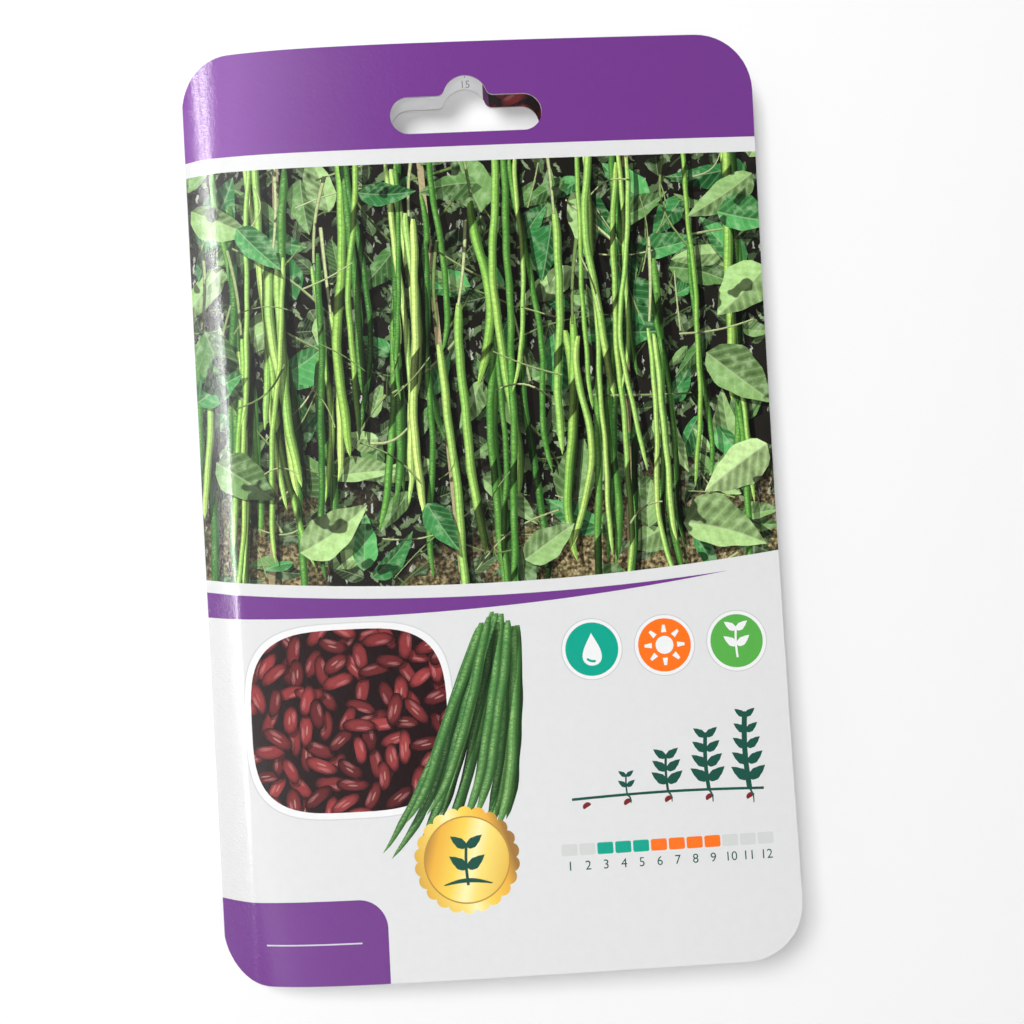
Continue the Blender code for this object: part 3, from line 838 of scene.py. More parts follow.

# The folded and cut card itself. Each printed side is triangulated flat, with the same points along
# the cut edges. Both are rolled round the fold, up the spine strip and over the bend, and parted in
# the middle of the strip into two halves.

CARD_THICKNESS = 0.45
SPINE_WIDTH = 7.5
FOLD_HEIGHT = 0.35
SPINE_BULGE = 0.25
CREASE_HEIGHT = 4.8
CREASE_DROP = 0.9
BOW_MIDDLE = 7.15
BOW_ACROSS = 1.0
BOW_ALONG = -1.35
BOW_TWIST = -0.95
BOW_CROWN = -0.7
BOW_CURL = 2.4
BOW_ROLL = 8.0
CREASE_X = LEFT + SPINE_WIDTH
CREASE_SWING = 3.3
CREASE_SLOPE = 0.28
SWING_START = 15.0
SWING_POWER = 1.4
BEND_SOFTNESS = 0.32
SOFTER_AT_TOP = 0.45
SOFTER_START = 40.0
ROLL_GROWTH = 1.6
NOSE_RADIUS = 0.3
NOSE_START = -0.525
NOSE_END = 0.375
NOSE_FIRST_DEG = 270
NOSE_TURN_DEG = 150
NOSE_FADE = 1.5
PARTING = 3.75
MERGE = 1e-4


def crease_height(y):
    """The crease falls in a straight line from the packet's foot to its top."""
    return CREASE_HEIGHT - CREASE_DROP * y / TOP


def strip_height(x, y):
    """Straight from the fold to the crease, with a slight bulge, and straight on past the crease."""
    width = crease_place(y) - LEFT
    along = (x - LEFT) / width
    height = crease_height(y) - CREASE_SLOPE * (CREASE_X - crease_place(y))
    bulge = SPINE_BULGE * np.sin(np.pi * np.clip(along, 0, 1))
    return FOLD_HEIGHT + (height - FOLD_HEIGHT) * along + bulge


def crease_place(y):
    """The crease runs straight along the packet and swings towards the fold near the top."""
    swing = np.clip((y - SWING_START) / (TOP - SWING_START), 0, 1) ** SWING_POWER
    return CREASE_X - CREASE_SWING * swing


def panel_rise(reach, y):
    """Height over the crease at a reach past it: a bowed plateau times 1 - exp(-reach / roll length)."""
    x = crease_place(y) + reach
    u, v = x / RIGHT, y / TOP
    plateau = BOW_MIDDLE + BOW_ACROSS * u + BOW_ALONG * v + BOW_TWIST * u * v
    plateau = plateau + BOW_CROWN * u**2 + BOW_CURL * v**2
    shift = CREASE_X - crease_place(y)
    roll = BOW_ROLL + ROLL_GROWTH * shift
    return (plateau - crease_height(y) + CREASE_SLOPE * shift) * (1 - np.exp(-reach / roll))


def middle_surface(p, y):
    """The card's middle at a flat place: flat panel, round nose of the fold, then strip and front.

    Past the crease the front leaves the strip's line by a softened reach: k log(1 + exp(reach / k)).
    """
    x = LEFT + np.abs(p)
    strip = strip_height(x, y)
    start = np.array([LEFT + NOSE_END])
    last_sine = math.sin(math.radians(NOSE_FIRST_DEG - NOSE_TURN_DEG))
    nose_top = CARD_THICKNESS / 2 + NOSE_RADIUS + NOSE_RADIUS * last_sine
    lift = nose_top - strip_height(start, y)
    strip = strip + lift * np.exp(-np.clip(x - start, 0, None) / NOSE_FADE)
    near_top = np.clip((y - SOFTER_START) / (TOP - SOFTER_START), 0, 1)
    softness = BEND_SOFTNESS + SOFTER_AT_TOP * near_top**1.5
    crease = crease_place(y)
    reach = softness * np.logaddexp(0, (x - crease) / softness)
    height = strip + panel_rise(reach, y) - (strip_height(crease + reach, y) - strip_height(crease, y))
    share = np.clip((p - NOSE_START) / (NOSE_END - NOSE_START), 0, 1)
    angle = np.radians(NOSE_FIRST_DEG - NOSE_TURN_DEG * share)
    nose_x = LEFT - NOSE_START + NOSE_RADIUS * np.cos(angle)
    nose_z = CARD_THICKNESS / 2 + NOSE_RADIUS + NOSE_RADIUS * np.sin(angle)
    flat = p < NOSE_START
    nose = (p >= NOSE_START) & (p < NOSE_END)
    x = np.where(nose, nose_x, x)
    z = np.where(flat, CARD_THICKNESS / 2, np.where(nose, nose_z, height))
    return np.stack([x, y, z], axis=1)


def card_normals(p, y):
    """Cross product of the surface's changes along p and along y, over small steps."""
    step = 0.03
    along_p = middle_surface(p + step, y) - middle_surface(p - step, y)
    along_y = middle_surface(p, y + step) - middle_surface(p, y - step)
    normal = np.cross(along_p, along_y)
    return normal / np.linalg.norm(normal, axis=1)[:, None]


def grid_lines():
    """Places of the lines along the packet: dense round the nose and the bend, wide elsewhere."""
    return np.concatenate([
        -np.array([4.0, 1.5, 0.8]),
        np.linspace(NOSE_START, NOSE_END, 13),
        np.array([0.7, 1.1, 1.5, 2.0, 2.6, 3.2, PARTING]),
        np.arange(4.1, 9.6, 0.3),
        np.array([10.2, 11.0, 12.0, 13.2, 14.6, 16.2, 18.0, 20.0, 22.3, 25.0]),
    ])


def gather(shapes, side, pinned):
    """One side's points, guide edges and rings: pinned points, outlines, guide lines and a loose grid."""
    points, faces, edges, owners, count = [pinned], [], [], [], len(pinned)
    for ring, owner in zip(shapes.rings, shapes.owners):
        motif = shapes.motifs[owner]
        if motif["side"] != side and motif["ink"] != "hole":
            continue
        points.append(ring)
        faces.append(list(range(count, count + len(ring))))
        owners.append(owner)
        count += len(ring)
    rows = np.linspace(BOTTOM - 1, TOP + 1, 66)
    for p in grid_lines():
        points.append(np.stack([np.full(len(rows), p), rows], axis=1))
        edges += [(count + i, count + i + 1) for i in range(len(rows) - 1)]
        count += len(rows)
    wide = np.arange(27.5, CARD_WIDTH - 0.8, 3.0)
    columns = np.concatenate([wide, -np.arange(9.0, CARD_WIDTH, 12.0)])
    grid_p, grid_y = np.meshgrid(columns, np.arange(BOTTOM + 1.3, TOP - 1, 3.7))
    points.append(np.stack([grid_p.ravel() + 0.013, grid_y.ravel() + 0.017], axis=1))
    return np.concatenate(points), edges, faces, owners


def sort_layers(shapes, tri_of, motif_of, count):
    """For each triangle: its top-most motif, the light that shadows over it leave, and if it is card."""
    inks = np.array([m["ink"] for m in shapes.motifs])
    is_hole, is_shadow = inks == "hole", inks == "shadow"
    top = np.full(count, -1)
    shown = ~(is_hole | is_shadow)[motif_of]
    np.maximum.at(top, tri_of[shown], motif_of[shown])
    holed = np.zeros(count, bool)
    holed[tri_of[is_hole[motif_of]]] = True
    strength = np.array([m["shade"] or 1.0 for m in shapes.motifs])
    light = np.ones(count)
    falls = is_shadow[motif_of] & (motif_of > top[tri_of])
    pairs = np.unique(np.stack([tri_of[falls], motif_of[falls]], axis=1), axis=0)
    np.multiply.at(light, pairs[:, 0], strength[pairs[:, 1]])
    on_sheet = np.zeros(count, bool)
    on_sheet[tri_of[motif_of <= 1]] = True
    return top, light, on_sheet & ~holed


def triangulate(shapes, side, pinned):
    """One side's Delaunay triangulation, parted into the back and the front half of the card.

    Each half has its flat points, its triangles clear of the slots, the top-most motif and the
    light of each, and the edges along its rim.
    """
    flat, edges, faces, owners = gather(shapes, side, pinned)
    found = delaunay_2d_cdt([Vector(q) for q in flat.tolist()], edges, faces, 0, MERGE, True)
    places = np.array([tuple(v) for v in found[0]], float)
    tris = np.array(found[2], int)
    counts = np.fromiter(map(len, found[5]), int, len(found[5]))
    ring_of = np.fromiter(itertools.chain.from_iterable(found[5]), int, counts.sum())
    tri_of = np.repeat(np.arange(len(tris)), counts)
    top, light, inside = sort_layers(shapes, tri_of, np.array(owners)[ring_of], len(tris))
    parts = {}
    middle = places[tris].mean(axis=1)[:, 0]
    for name, chosen in (("back", inside & (middle < PARTING)), ("front", inside & (middle >= PARTING))):
        used, inverse = np.unique(tris[chosen], return_inverse=True)
        local = inverse.reshape(-1, 3)
        parts[name] = {"places": places[used], "tris": local, "top": top[chosen],
                       "light": light[chosen], "rim": boundary_edges(local)}
    return parts


def boundary_edges(tris):
    """Directed edges that only one triangle uses."""
    directed = np.concatenate([tris[:, [0, 1]], tris[:, [1, 2]], tris[:, [2, 0]]])
    low, high = directed.min(axis=1), directed.max(axis=1)
    key = low * (directed.max() + 1) + high
    first, counts = np.unique(key, return_index=True, return_counts=True)[1:]
    return directed[first[counts == 1]]


def corner_data(shapes, motif_of, flat_corners, side):
    """For each triangle's three corners: the motif's own coordinates, its colour and its chance."""
    count = len(motif_of)
    place = np.zeros((count, 3, 2))
    order = np.argsort(motif_of, kind="stable")
    ids, starts = np.unique(motif_of[order], return_index=True)
    ends = np.append(starts[1:], count)
    colours = np.array([m["colour"] for m in shapes.motifs], float)
    chances = np.array([m["chance"] for m in shapes.motifs], float)
    sign = 1 if side == "outer" else -1
    for motif, start, end in zip(ids, starts, ends):
        local = shapes.motifs[motif]["local"]
        if local is None:
            continue
        rows = order[start:end]
        corners = flat_corners[rows]
        place[rows] = np.stack(local(sign * corners[..., 0] + LEFT, corners[..., 1]), axis=-1)
    return place, colours[motif_of], chances[motif_of]


def nearest(points, others):
    """For each point, the index of the nearest of the others."""
    return np.linalg.norm(points[:, None] - others[None], axis=2).argmin(axis=1)


def cut_edges(outer, inner):
    """The walls between both sides: two triangles for each edge of the rim, inner points numbered last."""
    count = len(outer["places"])
    rim_ids = np.unique(outer["rim"])
    inner_ids = np.unique(inner["rim"])
    partner = np.zeros(count, int)
    partner[rim_ids] = inner_ids[nearest(outer["places"][rim_ids], inner["places"][inner_ids])] + count
    a, b = outer["rim"].T
    return np.concatenate([
        np.stack([a, partner[a], partner[b]], axis=1),
        np.stack([a, partner[b], b], axis=1),
    ])


def card_piece(name, shapes, outer, inner, inks):
    """A closed piece of the card: its outer side, its inner side and the cut edges between them."""
    half = CARD_THICKNESS / 2
    sides = []
    for side, way in ((outer, 1), (inner, -1)):
        p, y = side["places"].T
        normal = card_normals(p, y)
        sides.append((middle_surface(p, y) + way * half * normal, way * normal))
    walls = cut_edges(outer, inner)
    core = len(walls)
    inner_tris = inner["tris"][:, ::-1]
    faces = np.concatenate([outer["tris"], inner_tris + len(outer["places"]), walls])
    outer_data = corner_data(shapes, outer["top"], outer["places"][outer["tris"]], "outer")
    inner_data = corner_data(shapes, inner["top"], inner["places"][inner_tris], "inner")
    titles = list(inks)
    ink_index = np.array([titles.index(m["ink"]) if m["ink"] in inks else 0 for m in shapes.motifs])
    core_index = np.full(core, titles.index("core"))
    slots = np.concatenate([ink_index[outer["top"]], ink_index[inner["top"]], core_index])
    place = np.concatenate([outer_data[0], inner_data[0], np.zeros((core, 3, 2))]).reshape(-1, 2)
    colour = np.concatenate([outer_data[1], inner_data[1], np.full((core, 3), 0.8)])
    chance = np.concatenate([outer_data[2], inner_data[2], np.full(core, 0.5)])
    shade = np.concatenate([outer["light"], inner["light"], np.ones(core)])
    points = np.concatenate([sides[0][0], sides[1][0]]) * MM
    point_normals = np.concatenate([sides[0][1], sides[1][1]])
    a3, b3, c3 = (points[walls[:, i]] for i in range(3))
    wall_normal = np.cross(b3 - a3, c3 - a3)
    wall_normal /= np.maximum(np.linalg.norm(wall_normal, axis=1), 1e-20)[:, None]
    corner_normals = np.concatenate([
        point_normals[faces[: len(faces) - core].ravel()],
        np.repeat(wall_normal, 3, axis=0),
    ])
    mesh = bpy.data.meshes.new(name)
    mesh.vertices.add(len(points))
    mesh.vertices.foreach_set("co", points.ravel().astype(np.float32))
    mesh.loops.add(faces.size)
    mesh.loops.foreach_set("vertex_index", faces.ravel().astype(np.int32))
    mesh.polygons.add(len(faces))
    mesh.polygons.foreach_set("loop_start", np.arange(0, faces.size, 3, dtype=np.int32))
    mesh.polygons.foreach_set("material_index", slots.astype(np.int32))
    for material in inks.values():
        mesh.materials.append(material)
    motif_map = mesh.uv_layers.new(name="Motif")
    motif_map.data.foreach_set("uv", place.ravel().astype(np.float32))
    ink = mesh.attributes.new("Ink", "FLOAT_COLOR", "CORNER")
    rgba = np.concatenate([colour, np.ones((len(colour), 1))], axis=1)
    ink.data.foreach_set("color", np.repeat(rgba, 3, axis=0).ravel().astype(np.float32))
    for title, values in (("Light", shade), ("Chance", chance)):
        attribute = mesh.attributes.new(title, "FLOAT", "FACE")
        attribute.data.foreach_set("value", values.astype(np.float32))
    mesh.update(calc_edges=True)
    mesh.validate()
    mesh.normals_split_custom_set(corner_normals.tolist())
    piece = bpy.data.objects.new(name, mesh)
    bpy.context.scene.collection.objects.link(piece)
    return piece


# Printing inks and the clear gloss film over them. Each ink is a procedural material that reads
# the printed shape's own coordinates, colour and shadow; the film's faint orange peel and light
# wear lie over all of them.


class Node:
    """One output socket of a material. Arithmetic on it adds Math nodes."""

    def __init__(self, tree, socket=None):
        self.tree = tree
        self.socket = socket

    def feed(self, node, sockets):
        """Links a Node, or sets a plain value, at each named socket of a shader's node."""
        for title, value in sockets.items():
            target = node.inputs[title]
            if isinstance(value, Node):
                self.tree.links.new(value.socket, target)
            else:
                wide = isinstance(value, tuple) and len(value) == 3 and target.type == "RGBA"
                target.default_value = (*value, 1.0) if wide else value

    def make(self, kind, settings=None, sockets=None, out=0):
        """A new node of a type, with its settings first and then its sockets' values or links."""
        node = self.tree.nodes.new(kind)
        for title, value in (settings or {}).items():
            if title == "stops":
                ramp = node.color_ramp
                while len(ramp.elements) < len(value):
                    ramp.elements.new(0.5)
                for element, (position, colour) in zip(ramp.elements, value):
                    element.position, element.color = position, (*colour, 1.0)
            else:
                setattr(node, title, value)
        self.feed(node, sockets or {})
        return Node(self.tree, node.outputs[out])

    def math(self, operation, other=None):
        """A Math node on this value and, where there is one, another."""
        sockets = {0: self} if other is None else {0: self, 1: other}
        return self.make("ShaderNodeMath", {"operation": operation}, sockets)

    def __add__(self, other):
        return self.math("ADD", other)

    __radd__ = __add__

    def __mul__(self, other):
        return self.math("MULTIPLY", other)

    __rmul__ = __mul__

    def __sub__(self, other):
        return self.math("SUBTRACT", other)

    def __rsub__(self, other):
        return self.make("ShaderNodeMath", {"operation": "SUBTRACT"}, {0: other, 1: self})

    def step(self, low, high):
        """0 below low, 1 above high, smooth between; falls instead where low is above high."""
        first, last = (0.0, 1.0) if low <= high else (1.0, 0.0)
        ends = {0: self, 1: min(low, high), 2: max(low, high), 3: first, 4: last}
        return self.make("ShaderNodeMapRange", {"interpolation_type": "SMOOTHSTEP"}, ends)

    def mix(self, low, high):
        """Colours low and high by this factor."""
        return self.make("ShaderNodeMix", {"data_type": "RGBA"}, {0: self, 6: low, 7: high}, 2)

    def ramp(self, *stops):
        """A colour ramp on this value."""
        return self.make("ShaderNodeValToRGB", {"stops": stops}, {0: self})

    def times(self, amount):
        """This colour, or these coordinates, times a value."""
        return self.make("ShaderNodeVectorMath", {"operation": "SCALE"}, {0: self, 3: amount})

    def axis(self, index):
        """One of these coordinates: 0 for x, 1 for y."""
        return self.make("ShaderNodeSeparateXYZ", {}, {0: self}, index)

    def output(self, index):
        """Another output of the same node."""
        return Node(self.tree, self.socket.node.outputs[index])

    def stretched(self, scale, turn=0.0):
        """These coordinates turned about Z and then scaled by a triple."""
        inverse = tuple(1 / s for s in scale)
        sockets = {"Vector": self, "Scale": inverse, "Rotation": (0.0, 0.0, turn)}
        return self.make("ShaderNodeMapping", {"vector_type": "TEXTURE"}, sockets)

    def noise(self, scale, detail=2.0, out=0):
        """Noise in these coordinates."""
        sockets = {"Vector": self, "Scale": scale, "Detail": detail}
        return self.make("ShaderNodeTexNoise", {}, sockets, out)

    def cells(self, scale):
        """Voronoi cells in these coordinates."""
        return self.make("ShaderNodeTexVoronoi", {}, {"Vector": self, "Scale": scale})

    def bump(self, strength, distance):
        """This height as a bump in the surface."""
        sockets = {"Strength": strength, "Distance": distance, "Height": self}
        return self.make("ShaderNodeBump", {}, sockets)

    def read(self, title):
        """What the mesh carries: a colour under Ink, a number under Light or Chance."""
        return self.make("ShaderNodeAttribute", {"attribute_name": title}, {}, 0 if title == "Ink" else 2)

    def motif(self):
        """The printed shape's own coordinates: both together, the first and the second."""
        place = self.make("ShaderNodeUVMap", {"uv_map": "Motif"})
        return place, place.axis(0), place.axis(1)


def start_material(name):
    """A Principled material, its shader, and the object's own coordinates in millimetres."""
    material = bpy.data.materials.new(name)
    material.use_nodes = True
    base = Node(material.node_tree)
    spot = base.make("ShaderNodeTexCoord", out=3).times(1000.0)
    return material, material.node_tree.nodes["Principled BSDF"], spot


def gloss_film(shader, spot, colour):
    """The clear film: fine orange peel, rubbed grain along the bend, roughness that drifts, a thin coat."""
    peel = spot.noise(1.5, 3.0) * 0.8 + spot.noise(0.4, 1.0) * 0.6
    rubbed = spot.noise(3.2, 2.0) * spot.axis(0).step(-50.0, -56.5)
    spot.feed(shader, {
        "Base Color": colour,
        "Roughness": 0.13 + spot.noise(0.06, 3.0) * 0.10,
        "Normal": (peel + rubbed * 1.25).bump(0.60, 0.00010),
        "Specular IOR Level": 0.42,
        "Coat Weight": 0.22,
        "Coat Roughness": 0.24,
        "IOR": 1.47,
    })


def below_picture(spot):
    """0 in the picture, and 1 under it, where no leaf throws shade."""
    return spot.axis(1).step(-21.5, -22.5)


def sun_patches(spot, fineness, share):
    """Light and shade that leaves throw in the picture: noise cut sharply at a share, from 0.21 to 1.12."""
    lit = spot.noise(fineness, 2.0).step(share - 0.012, share + 0.012)
    return (0.21 + lit * 0.91).math("MAXIMUM", below_picture(spot))


def mottle(spot):
    """A trace of unevenness in flat ink."""
    return 0.975 + spot.noise(0.5, 4.0) * 0.05


def plain_ink():
    """Flat ink on board, in the shape's own colour."""
    material, shader, spot = start_material("flat_ink")
    gloss_film(shader, spot, spot.read("Ink").times(mottle(spot)))
    return material


def wash_ink():
    """The header's ink: the same purple, painted paler towards the bend and the left, as painted sheen where
    the card rolls towards the light.
    """
    material, shader, spot = start_material("wash_ink")
    share = spot.motif()[1]
    # Painted sheen: the purple is lighter towards the bend, and a little lighter over the left of the
    # header, standing in for the light that the tilted card catches.
    paler = 0.97 + share.step(0.27, 0.0) * 0.34 + share.step(1.0, 0.2) * 0.06
    gloss_film(shader, spot, spot.read("Ink").times(mottle(spot) * paler))
    return material


def picture_ink():
    """Small things in the picture, such as stems and canes: mottled, and dim in shadow."""
    material, shader, spot = start_material("stem_ink")
    uneven = 0.55 + spot.noise(1.6, 4.0) * 0.9
    shade = uneven * spot.read("Light") * sun_patches(spot, 0.22, 0.42)
    gloss_film(shader, spot, spot.read("Ink").times(shade))
    return material


def foliage_bits(spot, turn, scale, share, shown, low, high):
    """Small leaf fragments over a colour: stretched cells, of which a share is filled with green."""
    cells = spot.stretched((0.42, 1.5, 1.0), turn).cells(scale)
    own = cells.output(1)
    filled = cells.step(0.42, 0.34) * own.axis(0).step(1.0 - share, 1.02 - share)
    return filled.mix(shown, own.axis(1).mix(low, high))


def earth_ink():
    """Deep shade between the plants: near black, full of leaf fragments, with straw low down."""
    material, shader, spot = start_material("earth_ink")
    shown = spot.noise(0.11, 4.0).step(0.4, 0.62).mix((0.010, 0.009, 0.007), (0.016, 0.014, 0.011))
    ragged = {0: spot.noise(1.2, 3.0, 1), 1: (1.6, 1.6, 0.0), 2: spot}
    bent = spot.make("ShaderNodeVectorMath", {"operation": "MULTIPLY_ADD"}, ragged)
    for turn, scale, share, low, high in (
        (0.6, 0.34, 0.40, (0.020, 0.045, 0.015), (0.15, 0.24, 0.10)),
        (-0.9, 0.55, 0.32, (0.03, 0.06, 0.02), (0.26, 0.36, 0.18)),
        (1.5, 0.95, 0.24, (0.10, 0.14, 0.08), (0.50, 0.54, 0.44)),
    ):
        shown = foliage_bits(bent, turn, scale, share, shown, low, high)
    ground = spot.axis(1).step(12.0, -14.0) * spot.noise(0.05, 3.0).step(0.42, 0.60)
    straw = spot.noise(1.3, 5.0).ramp(
        (0.32, (0.02, 0.015, 0.008)), (0.47, (0.14, 0.11, 0.045)),
        (0.57, (0.40, 0.30, 0.13)), (0.68, (0.66, 0.58, 0.36)),
    )
    gloss_film(shader, spot, (ground * 0.8).mix(shown, straw).times(spot.read("Light")))
    return material


def leaf_ink():
    """A leaf: a pale midrib, side veins that slant to the tip, quilted between them, in crisp light."""
    material, shader, spot = start_material("leaf_ink")
    colour, light, chance = spot.read("Ink"), spot.read("Light"), spot.read("Chance")
    u, v = spot.motif()[1:]
    side = u.math("ABSOLUTE")
    rib = side.step(0.07, 0.0)
    rise = (v * 7.5 - side * 1.7 + chance).math("FRACT")
    veins = (rise - 0.5).math("ABSOLUTE").step(0.07, 0.0) * 0.6
    quilt = (rise - 0.5).math("ABSOLUTE").step(0.0, 0.5)
    half = u.step(-0.04, 0.04)
    wave = spot.noise(0.42, 3.0)
    dim = 1.25 - half * 0.50 - quilt * 0.16 * (0.6 + half) + (wave - 0.5) * 1.1
    grain = 0.78 + spot.noise(1.8, 4.0) * 0.44
    body = colour.times((dim * grain).math("MAXIMUM", 0.12))
    sheen = (wave + spot.noise(1.1, 2.0) * 0.25).step(0.64, 0.80) * 0.30
    body = sheen.mix(body, (0.46, 0.60, 0.36))
    paler = {0: 0.6, 6: colour, 7: (0.62, 0.72, 0.42)}
    pale = spot.make("ShaderNodeMix", {"data_type": "RGBA"}, paler, 2)
    shown = (rib.math("MAXIMUM", veins) * 0.5).mix(body, pale)
    gloss_film(shader, spot, shown.times(light * sun_patches(spot, 0.13, 0.37)))
    return material


def pod_ink():
    """A pod: a ridge left of its middle, a groove, a dark right side, and stretches in a leaf's shade."""
    material, shader, spot = start_material("pod_ink")
    colour, light, chance = spot.read("Ink"), spot.read("Light"), spot.read("Chance")
    u, v = spot.motif()[1:]
    along_pod = {0: v * 0.062 + u * 0.07 + chance * 37.0, 1: chance * 11.0}
    run = spot.make("ShaderNodeCombineXYZ", {}, along_pod)
    shade = 0.15 + run.noise(1.0, 1.0).step(0.385, 0.40) * 0.85
    shade = shade.math("MAXIMUM", below_picture(spot))
    ripening = run.noise(0.55, 2.0).step(0.40, 0.60)
    greener = {0: colour, 1: (0.76, 0.93, 0.86)}
    green = spot.make("ShaderNodeVectorMath", {"operation": "MULTIPLY"}, greener)
    lit = (u + 0.30).math("ABSOLUTE").step(0.75, 0.0)
    grain = spot.stretched((1.0, 1.9, 1.0)).noise(1.7, 4.0)
    ripple = (v * 4.4 + grain * 7.0 + chance * 6.0).math("SINE") * 0.5 + 0.5
    swell = (v * 0.785 + chance * 6.0).math("SINE") * 0.5 + 0.5
    wander = (v * 0.12 + chance * 9.0).math("SINE") * 0.15
    groove = (u - wander - 0.12).math("ABSOLUTE").step(0.17, 0.04)
    bright = 0.66 + lit * 0.40 + ripple * 0.20 * lit + (grain - 0.5) * 0.65 + swell * 0.08 * lit
    body = ripening.mix(green, colour).times(bright)
    body = (lit * (0.10 + swell * 0.22) * grain.step(0.42, 0.62)).mix(body, (0.62, 0.82, 0.32))
    body = (groove * 0.55).mix(body, (0.08, 0.24, 0.03))
    body = (u.step(0.20, 0.85) * 0.85).mix(body, (0.020, 0.075, 0.014))
    body = (u.step(-0.70, -1.0) * 0.6).mix(body, (0.04, 0.14, 0.03))
    gloss_film(shader, spot, body.times(light * shade))
    return material


def seed_ink():
    """A dark red bean seed: rounded, wrinkled lengthwise, with a soft highlight and a pale eye."""
    material, shader, spot = start_material("seed_ink")
    colour, light, chance = spot.read("Ink"), spot.read("Light"), spot.read("Chance")
    place, u, v = spot.motif()
    round_off = (u * u + v * v).step(1.10, 0.15)
    shine = ((u + 0.25) * (u + 0.25) * 2.0 + (v - 0.35) * (v - 0.35) * 6.0).step(0.50, 0.0)
    wrinkle = place.stretched((1.4, 7.0, 1.0)).noise(2.4, 4.0)
    body = colour.times((0.10 + round_off * 1.05 + (wrinkle - 0.5) * 1.3).math("MAXIMUM", 0.05))
    body = (shine * wrinkle.step(0.40, 0.60) * 0.6).mix(body, (0.80, 0.34, 0.34))
    eye = (u * u * 9.0 + (v + 0.15) * (v + 0.15) * 60.0).step(1.0, 0.5) * chance.step(0.6, 0.62)
    body = (eye * 0.6).mix(body, (0.55, 0.30, 0.24))
    gloss_film(shader, spot, body.times(light))
    return material


def gold_ink():
    """Printed gold: a slanting band of light and dark yellow, as a metal ribbon would show."""
    material, shader, spot = start_material("gold_ink")
    u, v = spot.motif()[1:]
    band = (u * 0.9 + v * 0.25 + 0.2) * 0.5 + 0.5
    shown = band.ramp(
        (0.0, (0.42, 0.23, 0.06)), (0.22, (0.80, 0.48, 0.06)), (0.45, (0.93, 0.72, 0.16)),
        (0.55, (0.96, 0.86, 0.42)), (0.68, (0.93, 0.66, 0.08)), (0.88, (0.85, 0.44, 0.04)),
        (1.0, (0.36, 0.18, 0.04)),
    )
    gloss_film(shader, spot, shown.times(spot.read("Light")))
    return material


def core_board():
    """The cut edge of the card: soft white paper fibre."""
    material, shader, spot = start_material("cut_board")
    fibre = spot.stretched((1.0, 1.0, 6.0)).noise(2.0, 3.0)
    shade = fibre.mix((0.66, 0.65, 0.63), (0.82, 0.82, 0.81))
    spot.feed(shader, {"Base Color": shade, "Roughness": 0.85})
    return material


def rim_places(halves):
    """The points along the cut edges of both halves, for the other side to share."""
    return np.concatenate([half["places"][np.unique(half["rim"])] for half in halves.values()])


inks = {
    "plain": plain_ink(), "plain_picture": picture_ink(), "earth": earth_ink(), "leaf": leaf_ink(),
    "pod": pod_ink(), "seed": seed_ink(), "gold": gold_ink(), "painted_sheen": wash_ink(), "core": core_board(),
}
first_inner = triangulate(sheet, "inner", np.zeros((0, 2)))
outer_side = triangulate(sheet, "outer", rim_places(first_inner))
inner_side = triangulate(sheet, "inner", rim_places(outer_side))
for name, part, nodes, card_slot, bends, start, end in (
    ("card_back_half", "back", ("back_panel", "spine_strip"), "card_back", ("base", "spine"),
     (LEFT, 0, 0.45), (LEFT, 0, 1.25)),
    ("card_front_half", "front", ("front_panel",), "card_print", ("spine", "cover"),
     (-55.5, 0, 3.7), (-51.5, 0, 5.2)),
):
    card = card_piece(name, sheet, outer_side[part], inner_side[part], inks)
    tuple(c * MM for c in start)
    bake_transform(card)
    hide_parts(*nodes)

# The sachet of seeds, glued inside: two films of aluminium laminate, heat sealed all round with
# fine ribs and cut with pinked ends. The front film lies over the seeds and shows their lumps.

SACHET_WIDTH = 94.0
SACHET_LENGTH = 142.0
SACHET_Y = -13.0
SEAL_WIDTH = 7.0
FILM_THICKNESS = 0.12
BACK_FILM_LOW = 0.85
FRONT_FILM_LOW = 1.07
PILLOW_HEIGHT = 4.7
PILLOW_RISE = 10.0
SEED_PITCH = (9.4, 5.45)
SEED_Y = -27.0
PINK_DEPTH = 0.9
PINK_PITCH = 2.4


def pillow_rise(x, y):
    """Zero at the seal, then the sine of the distance inside it to the power 0.8, both ways."""
    side = np.clip((SACHET_WIDTH / 2 - SEAL_WIDTH - np.abs(x)) / PILLOW_RISE, 0, 1)
    end = np.clip((SACHET_LENGTH / 2 - SEAL_WIDTH - np.abs(y - SACHET_Y)) / PILLOW_RISE, 0, 1)
    return np.sin(side * np.pi / 2) ** 0.8 * np.sin(end * np.pi / 2) ** 0.8


def seed_lumps(x, y):
    """Rows of rounded lumps at the seeds' pitch, every second row shifted by half a pitch."""
    row = (y - SEED_Y) / SEED_PITCH[1]
    shift = 0.5 * (np.round(row) % 2)
    wave_y = np.cos(np.pi * (row - np.round(row))) ** 2
    wave_x = 0.5 + 0.5 * np.cos(2 * np.pi * (x / SEED_PITCH[0] - shift + 0.25))
    reach = np.clip((37.5 - np.abs(y - SEED_Y)) / 4, 0, 1) * np.clip((35.0 - np.abs(x)) / 4, 0, 1)
    return wave_y * wave_x * reach


def creases(x, y, seed, count=26):
    """Foil creases: a sum of narrow ridges along straight lines of every direction, each fading out."""
    draw_line = np.random.default_rng(seed)
    total = np.zeros_like(x)
    for _ in range(count):
        angle = draw_line.uniform(0, np.pi)
        spot = draw_line.uniform([-40, -80], [40, 52])
        along, away = unturned(spot, angle, x, y)
        length, width = draw_line.uniform(8, 26), draw_line.uniform(0.5, 1.3)
        ridge = np.exp(-((along / length) ** 2)) * np.exp(-np.abs(away / width))
        total += ridge * draw_line.uniform(0.4, 1.0)
    return total


